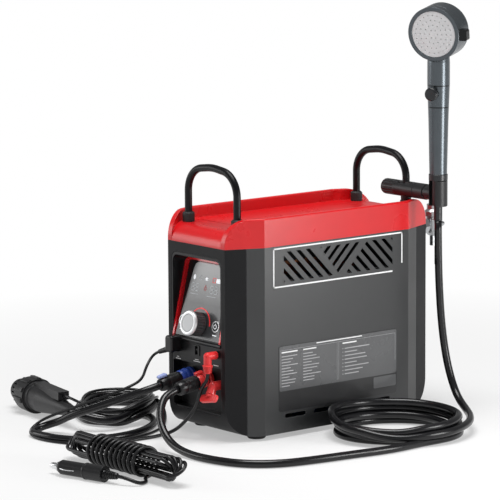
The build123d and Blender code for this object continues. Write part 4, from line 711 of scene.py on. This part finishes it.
# the printed line round the grille, open at its lower right corner
grilleFrame = {"path": [(.1006, .213), (-.116, .213), (-.116, .2665), (.1195, .2665), (.1195, .224)],
               "line": .0021, "raise": .00012}
printed("grilleFrame", nearSide, lines(grilleFrame["path"], grilleFrame["line"]), grilleFrame["raise"],
        "printWhite")

# the rating plate: grey above with plain bars for its table, black and bare below
plate = {"left": -.108, "right": .11, "low": .037, "high": .13, "split": .066, "corner": .004, "rim": .001,
         "base": .0003, "field": .00042, "marks": .0005, "heads": .00055, "ruled": .0004,
         "badge": (.066, .048, .108, .064, .002), "badgeRaise": .0004}
printed("ratingPlate", nearSide,
        [roundRect(plate["left"], plate["low"], plate["right"], plate["high"], plate["corner"])],
        plate["base"], "plateBlack", "casing")
printed("ratingPlateField", nearSide,
        [roundRect(plate["left"] + plate["rim"], plate["split"], plate["right"] - plate["rim"],
                   plate["high"] - plate["rim"], plate["corner"] - plate["rim"])],
        plate["field"], "plateGrey", "casing")


def barBlock(x, z, wide, rows, pitch, tall, seed):
    # stand-in print: plain bars of uneven length, no letters
    ends = [x + wide * (.72 + .26 * math.sin(seed + 2.3 * k)) for k in range(rows)]
    return [rect(x, z - pitch * k, end, z - pitch * k + tall) for k, end in enumerate(ends)]


bars = barBlock(-.103, .114, .03, 11, .0042, .0012, 1) + barBlock(-.064, .114, .033, 10, .0042, .0012, 4)
bars += barBlock(.012, .112, .048, 8, .0052, .0014, 2)
bars += [rect(.008, .112 - .0052 * k, .0094, .1134 - .0052 * k) for k in range(8)]
printed("ratingPlateCorner", nearSide, [roundRect(*plate["badge"])], plate["badgeRaise"], "plateGrey",
        "casing")
printed("ratingPlateBars", nearSide, bars, plate["marks"], "plateMark")
heads = [rect(x, .1195, end, .1213) for x, end in ((-.103, -.074), (-.064, -.04), (.008, .034))]
heads += [rect(-.04, .1262, .044, .1276)]
printed("ratingPlateHeads", nearSide, heads, plate["heads"], "printWhite")
border = []
for path in ([(-.1045, .072), (-.1045, .1235), (.1065, .1235), (.1065, .085)],
             [(-.002, .07), (-.002, .1225)], [(.001, .07), (.001, .1225)]):
    border += lines(path, plate["ruled"])
printed("ratingPlateBorder", nearSide, border, plate["marks"], "plateMark")

# control panel signs, in the panel's own plane
panelFacing = (-.97437, 0, .22495)
panelAt = Matrix.Translation(panelFade["origin"]) @ turnTo(panelFacing, (0, -1, 0))
signs = {"row": .0852, "digits": .0718, "underline": .0616, "knobRise": .0215, "raise": .00025,
         "dropAt": -.027, "dropWide": .0024, "dropTall": .003, "dropTip": .0012, "batteryHalf": .0031,
         "digitsAt": (-.0305, -.0215, .011, .02), "digitWide": .0068, "digitTall": .0105, "digitLine": .001}
row = signs["row"]


def sign(name, shapes, look, slot="silver"):
    printed(name, panelAt, shapes, signs["raise"], look, slot)


drop = []
for k in range(20):
    side, up = math.sin(k * math.tau / 20), math.cos(k * math.tau / 20)
    drop.append((signs["dropAt"] + signs["dropWide"] * side * (1 - .45 * max(0, up)),
                 row - .0006 - signs["dropTall"] * up + signs["dropTip"] * max(0, -up)))
sign("signDrop", [drop], "signWhite")
fan = [arc(-.0135, row, .003, .0009, 90 * k + 10, 90 * k + 75, 6) for k in range(4)]
sign("signFan", sum(fan, []), "signDim")
plugSign = [rect(-.0022, row - .0022, .0016, row + .0022), rect(.0016, row + .0008, .0036, row + .0014),
            rect(.0016, row - .0014, .0036, row - .0008), rect(-.004, row - .0003, -.0022, row + .0003)]
sign("signPlug", plugSign, "signWhite")
low, high = row - signs["batteryHalf"], row + signs["batteryHalf"]
battery = [roundRect(.0212, low, .0302, high, .001), rect(.0302, row - .0013, .0311, row + .0013)]
sign("signBatteryFull", battery, "signWhite")
empty = rect(.0138, low, .0198, high)
sign("signBatteryLow", lines(empty + empty[:1], .0007), "signRed", "trim_red")


def digit(x, y):
    # the seven bars of one figure
    half, line = signs["digitTall"] / 2, signs["digitLine"]
    low, mid, high, right = y - half, y, y + half, x + signs["digitWide"]
    gap = line * 0.8
    bars = [rect(x + gap, z - line / 2, right - gap, z + line / 2) for z in (low, mid, high)]
    for c in (x, right):
        bars += [rect(c - line / 2, a + gap, c + line / 2, b - gap) for a, b in ((low, mid), (mid, high))]
    return bars


figures = []
for start in signs["digitsAt"]:
    figures += digit(start, signs["digits"])
sign("signFigures", figures, "signDim")
flame = arc(0, signs["digits"], .0022, .0012, 0, 360, 14)
flame += [rect(-.0006, signs["digits"] + .0022, .0006, signs["digits"] + .005)]
sign("signFlame", flame, "signRedDim", "trim_red")
under = signs["underline"]
underlines = [rect(x, under, end, under + .0008) for x, end in ((-.031, -.014), (.006, .0255))]
sign("signUnderlines", underlines, "signDim")
sign("signTempArc", arc(0, signs["knobRise"], .0226, .0018, 0, 138, 36), "signRed", "trim_red")

# a ring, a caption bar and a mark for each button
buttons = {"apart": .0365, "rise": .023, "face": .0014, "mark": .0008, "ring": [
    (.00645, .0003), (.0079, .0003), (.008, .0007), (.0076, .0011), (.0067, .0011), (.00645, .0008)]}
house = [(-.0022, -.0026), (-.0022, .0012), (0, .0034), (.0022, .0012), (.0022, -.0026), (-.0022, -.0026)]
power = arc(0, 0, .003, buttons["mark"], 120, 420, 20) + [rect(-.0004, .0012, .0004, .0042)]
for side, word, body, mark in ((-1, "Left", "left_button", lines(house, buttons["mark"])),
                               (1, "Right", "right_button", power)):
    x = side * buttons["apart"]
    bar = rect(x - .0045, .01, x + .0045, .0112)
    sign("buttonBar" + word, [bar], "signWhite")
    origin = panelAt @ Vector((x, buttons["rise"], 0))
    turnedPiece("buttonRing" + word, origin, panelFacing, buttons["ring"], "bezelSilver", "silver")
    face = panelAt @ Matrix.Translation((x, buttons["rise"], buttons["face"]))
    printed("buttonMark" + word, face, mark, .00015, "signWhite", "silver", body)

# the knob's bright bezel
knobAt = panelAt @ Vector((0, signs["knobRise"], 0))
bezel = [(.0124, .0196), (.0158, .0192), (.0172, .0176), (.0176, .018), (.0176, .0194), (.0166, .021),
         (.015, .0216), (.0134, .0215), (.0124, .0209)]
turnedPiece("knobBezel", knobAt, panelFacing, bezel, "bezelSilver", "silver", "knob", 72)

# port band: ring round the charge port and white lines under each port
bandAt = Matrix.Translation((-.1847, 0, 0)) @ turnTo((-1, 0, 0), (0, -1, 0))
outline = roundRect(-.0044, .1146, .0044, .1294, .002, 6)
inside = roundRect(-.0034, .1156, .0034, .1284, .0014, 6)
ring = [[outline[k - 1], outline[k], inside[k], inside[k - 1]] for k in range(len(outline))]
printed("portRing", bandAt, ring, .0004, "portGreen", "board_green")
marks = [rect(-.0475, .1043, -.0365, .1054), rect(-.045, .1072, -.04, .1081),
         rect(-.0075, .1058, .0075, .1068), rect(-.004, .1084, .004, .1092), rect(.0365, .1062, .048, .1072)]
printed("portLines", bandAt, marks, .0002, "printWhite")

# water fittings: ribbed colour sleeves, coupler grips and release tabs
fittings = {"x": -.17, "z": .0845, "inletY": .027, "outletY": -.012, "droop": math.radians(10)}
outward = (-math.cos(fittings["droop"]), 0, -math.sin(fittings["droop"]))
upward = (-math.sin(fittings["droop"]), 0, math.cos(fittings["droop"]))


def ribRow(ribs):
    # equal teeth along an axis, each a few points of radius and height
    return [(ribs["radius"] + ribs["step"] * k + out, ribs["first"] + ribs["pitch"] * k + up)
            for k in range(ribs["count"]) for out, up in ribs["tooth"]]


def fittingAt(y, distance, rise=0.0):
    return Vector((fittings["x"], y, fittings["z"])) + Vector(outward) * distance + Vector(upward) * rise


sleeveOutline = [(.0056, .002), (.01, .002), (.0106, .004), (.0106, .0065), (.0094, .008), (.0094, .0105),
                 (.0108, .012), (.0108, .015), (.0095, .0165), (.0095, .0185), (.0107, .02), (.0107, .0235),
                 (.0098, .0255), (.0087, .026), (.0087, .016), (.0056, .016)]
gripRibs = {"count": 6, "first": .029, "pitch": .003, "radius": .0103, "step": 0,
            "tooth": ((0, 0), (0, .0016), (-.0007, .002), (-.0007, .0027))}
gripOutline = [(.0086, .027), (.0102, .0275)] + ribRow(gripRibs) + [
    (.01, .048), (.0096, .056), (.0086, .059), (.0062, .0592), (.0062, .0584), (.0084, .0578),
    (.0084, .028)]
for word, y, look, slotName in (("inlet", fittings["inletY"], "fittingBlue", "fitting_blue"),
                                ("outlet", fittings["outletY"], "drainRed", "fitting_red")):
    turnedPiece(word + "Sleeve", fittingAt(y, 0), outward, sleeveOutline, look, slotName)
    turnedPiece(word + "Grip", fittingAt(y, 0), outward, gripOutline, "plugBlack", "plug_black")


def softBlock(name, centre, size, rounding, look, slot, taper=0.8):
    # a cube drawn out, narrowed at one end and rounded
    bm = bmesh.new()
    bmesh.ops.create_cube(bm, size=1)
    bmesh.ops.scale(bm, vec=size, verts=bm.verts[:])
    bmesh.ops.scale(bm, vec=(taper, taper, 1), verts=[v for v in bm.verts if v.co.z > 0])
    bmesh.ops.bevel(bm, geom=bm.edges[:], offset=rounding, offset_type="OFFSET", segments=3, profile=0.5,
                    affect="EDGES", material=-1, clamp_overlap=True)
    settle(bm, name, centre, turnTo(outward, (0, 1, 0)), look, slot)


softBlock("inletTab", fittingAt(fittings["inletY"], .0545, .012), (.0085, .005, .015), .0018, "paleBlue",
          "fitting_blue")
softBlock("outletTab", fittingAt(fittings["outletY"], .02, .012), (.008, .0045, .013), .0016, "drainRed",
          "fitting_red")

# ribs of the red elbow, smaller towards its lead
elbow = {"top": (-.2015, -.045, .122), "count": 5, "first": .0128, "pitch": .0022, "radius": .0071,
         "step": -.0004, "tooth": ((0, 0), (0, .0011), (-.001, .0013), (-.001, .0021))}
elbowRibs = [(.003, .012), (.0052, .012)] + ribRow(elbow) + [(.003, .0242)]
turnedPiece("elbowRibs", elbow["top"], (0, 0, -1), elbowRibs, "plugRed", "plug_red")

# pump: ribs round its nut, a collar and the rings where its hose begins
pump = {"tail": Vector((-.285, .162, .025)), "tip": Vector((-.252, .331, .025)), "ribs": 10, "ribAt": .126,
        "ribSize": (.004, .008, .024), "ribOut": .0252, "ribOutLow": .0225, "ribRound": .0014}
pumpTail = pump["tail"]
pumpWay = (pump["tip"] - pumpTail).normalized()
bm = bmesh.new()
for k in range(pump["ribs"]):
    before = set(bm.verts)
    bmesh.ops.create_cube(bm, size=1)
    fresh = [v for v in bm.verts if v not in before]
    bmesh.ops.scale(bm, vec=pump["ribSize"], verts=fresh)
    turn = math.tau * (k + .25) / pump["ribs"]
    out = pump["ribOut"] if math.cos(turn) > -.6 else pump["ribOutLow"]    # the lowest ribs stay off the floor
    bmesh.ops.translate(bm, vec=(out, 0, pump["ribAt"]), verts=fresh)
    bmesh.ops.rotate(bm, cent=(0, 0, 0), matrix=Matrix.Rotation(turn, 3, "Z"), verts=fresh)
bmesh.ops.bevel(bm, geom=bm.edges[:], offset=pump["ribRound"], segments=2, profile=0.5, affect="EDGES",
                material=-1)
settle(bm, "pumpNutRibs", pumpTail, turnTo(pumpWay, (0, 0, 1)), "gasBlack", "gas_black")
collar = [(.0196, .104), (.0212, .1052), (.0212, .11), (.0225, .1122), (.0196, .1122)]
turnedPiece("pumpCollar", pumpTail, pumpWay, collar, "gasBlack", "gas_black")
tailRings = [(.0058, -.005), (.0074, -.005), (.0078, -.003), (.0078, .001), (.0086, .003), (.009, .007),
             (.0095, .009), (.0058, .009)]
turnedPiece("pumpTailRings", pumpTail, pumpWay, tailRings, "gasBlack", "gas_black")

# supply plug: bright tip, side springs, ribbed relief
plug = {"tail": Vector((-.452, -.144, .011)), "tip": Vector((-.474, -.054, .011)), "spring": .0016,
        "count": 6, "first": -.02, "pitch": .0032, "radius": .004, "step": .0004,
        "tooth": ((.0004, 0), (.0005, .0018), (-.0006, .0021), (-.0005, .0031)),
        "bow": ((.048, .0088), (.044, .01), (.039, .0112), (.034, .0117), (.029, .0112), (.024, .0096),
                (.0215, .0086))}
plugTail = plug["tail"]
plugWay = (plug["tip"] - plugTail).normalized()
reach = (plug["tip"] - plugTail).length
tipCap = [(.003, -.0145), (.006, -.0145), (.0062, -.0125), (.0045, -.0115), (.0043, -.0035), (.0034, -.0008),
          (.002, .0002), (0, .0003), (0, -.003)]
turnedPiece("plugTipCap", plugTail, plugWay, [(r, reach + h) for r, h in tipCap], "chromeRing", "silver")
relief = [(.0026, -.0212), (.0036, -.0212)] + ribRow(plug) + [(.0062, .0002), (.0026, .0002)]
turnedPiece("plugRelief", plugTail, plugWay, relief, "plugBlack", "plug_black")
gripBand = [(.0095, .029), (.0112, .0292), (.0113, .03), (.0113, .0316), (.0108, .0326), (.0095, .0328)]
turnedPiece("plugGripBand", plugTail, plugWay, gripBand, "plugBlack", "plug_black")
plugSide = plugWay.cross(Vector((0, 0, 1))).normalized()
for side, name in ((1, "plugSpringA"), (-1, "plugSpringB")):
    bow = [plugTail + plugWay * (reach - along) + plugSide * side * out for along, out in plug["bow"]]
    spring = route(name, bow, plug["spring"])
    spring.data.materials.append(materials["chromeRing"])
    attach(spring, "heater")

print("small pieces made")

# floor, backdrop and light; the floor turns pale from near to far, and the sky towards the horizon
studio = {"floorSize": 60.0, "near": 0.45, "far": 1.15, "nearPale": 0.4, "diffuse": 0.8,
          "sky": 0.26, "horizon": 0.12}


def seenRays(tree):
    # 1 for what the camera sees, directly or through a reflection or glass
    rays = add(tree, "LightPath")
    seen = maths(tree, "ADD", rays.outputs["Is Camera Ray"], rays.outputs["Is Glossy Ray"])
    return maths(tree, "MINIMUM", maths(tree, "ADD", seen, rays.outputs["Is Transmission Ray"]), 1.0)


stageMesh = bpy.data.meshes.new("studioFloor")
bm = bmesh.new()
bmesh.ops.create_grid(bm, x_segments=4, y_segments=4, size=studio["floorSize"] / 2)
bm.to_mesh(stageMesh)
bm.free()
studioFloor = place(stageMesh, "studioFloor", None)
floorMaterial = bpy.data.materials.new("studioFloor")
floorMaterial.use_nodes = True
tree = floorMaterial.node_tree
shader = tree.nodes["Principled BSDF"]
shader.inputs["Base Color"].default_value = (studio["diffuse"],) * 3 + (1,)
shader.inputs["Roughness"].default_value = 0.8
shader.inputs["Specular IOR Level"].default_value = 0.1
white = add(tree, "Emission", Strength=1.0)
coordinate = add(tree, "TexCoord")
length = add(tree, "VectorMath", operation="LENGTH")
tree.links.new(coordinate.outputs["Object"], length.inputs[0])
# near the object the floor glows less: painted shade round it, with the lamps' real shadow showing through
away = spread(tree, length.outputs["Value"], studio["near"], studio["far"], studio["nearPale"], 1.0)
blend = add(tree, "MixShader")
tree.links.new(maths(tree, "MULTIPLY", away, seenRays(tree)), blend.inputs[0])
tree.links.new(shader.outputs[0], blend.inputs[1])
tree.links.new(white.outputs[0], blend.inputs[2])
tree.links.new(blend.outputs[0], tree.nodes["Material Output"].inputs["Surface"])
stageMesh.materials.append(floorMaterial)

world = bpy.data.worlds.new("studioWorld")
bpy.context.scene.world = world
world.use_nodes = True
tree = world.node_tree
tree.nodes.clear()
sky = add(tree, "Background", Strength=studio["sky"])
pale = add(tree, "Background", Strength=1.0)
for node in (sky, pale):
    node.inputs["Color"].default_value = (1, 1, 1, 1)
direction = add(tree, "TexCoord")
rise = add(tree, "SeparateXYZ")
tree.links.new(direction.outputs["Generated"], rise.inputs[0])
paleness = spread(tree, rise.outputs["Z"], 0.0, studio["horizon"], 1.0, studio["sky"])
tree.links.new(paleness, pale.inputs["Strength"])
both = add(tree, "MixShader")
worldOut = tree.nodes.new("ShaderNodeOutputWorld")
tree.links.new(seenRays(tree), both.inputs[0])
tree.links.new(sky.outputs[0], both.inputs[1])
tree.links.new(pale.outputs[0], both.inputs[2])
tree.links.new(both.outputs[0], worldOut.inputs[0])

softboxes = {
    "overheadBox": {"place": (-.3, -.2, 2.6), "aim": (0, 0, .2), "size": (1.5, 1.5), "power": 62},
    "sideBox": {"place": (.33, -.92, .3), "aim": (-.1, 0, .2), "size": (0.3, 0.4), "power": 4.2},
    "rearBox": {"place": (-1.7, 1.9, .8), "aim": (-.1, 0, .2), "size": (1.1, 1.1), "power": 12},
}
for name, box in softboxes.items():
    data = bpy.data.lights.new(name, "AREA")
    data.shape = "RECTANGLE"
    data.size, data.size_y = box["size"]
    data.energy = box["power"]
    lamp = bpy.data.objects.new(name, data)
    bpy.context.scene.collection.objects.link(lamp)
    away = Vector(box["place"]) - Vector(box["aim"])
    lamp.matrix_world = Matrix.Translation(box["place"]) @ turnTo(away, (away.y, -away.x, 0))
print("studio set")

bpy.context.scene.view_settings.view_transform = "Standard"
bpy.context.view_layer.update()
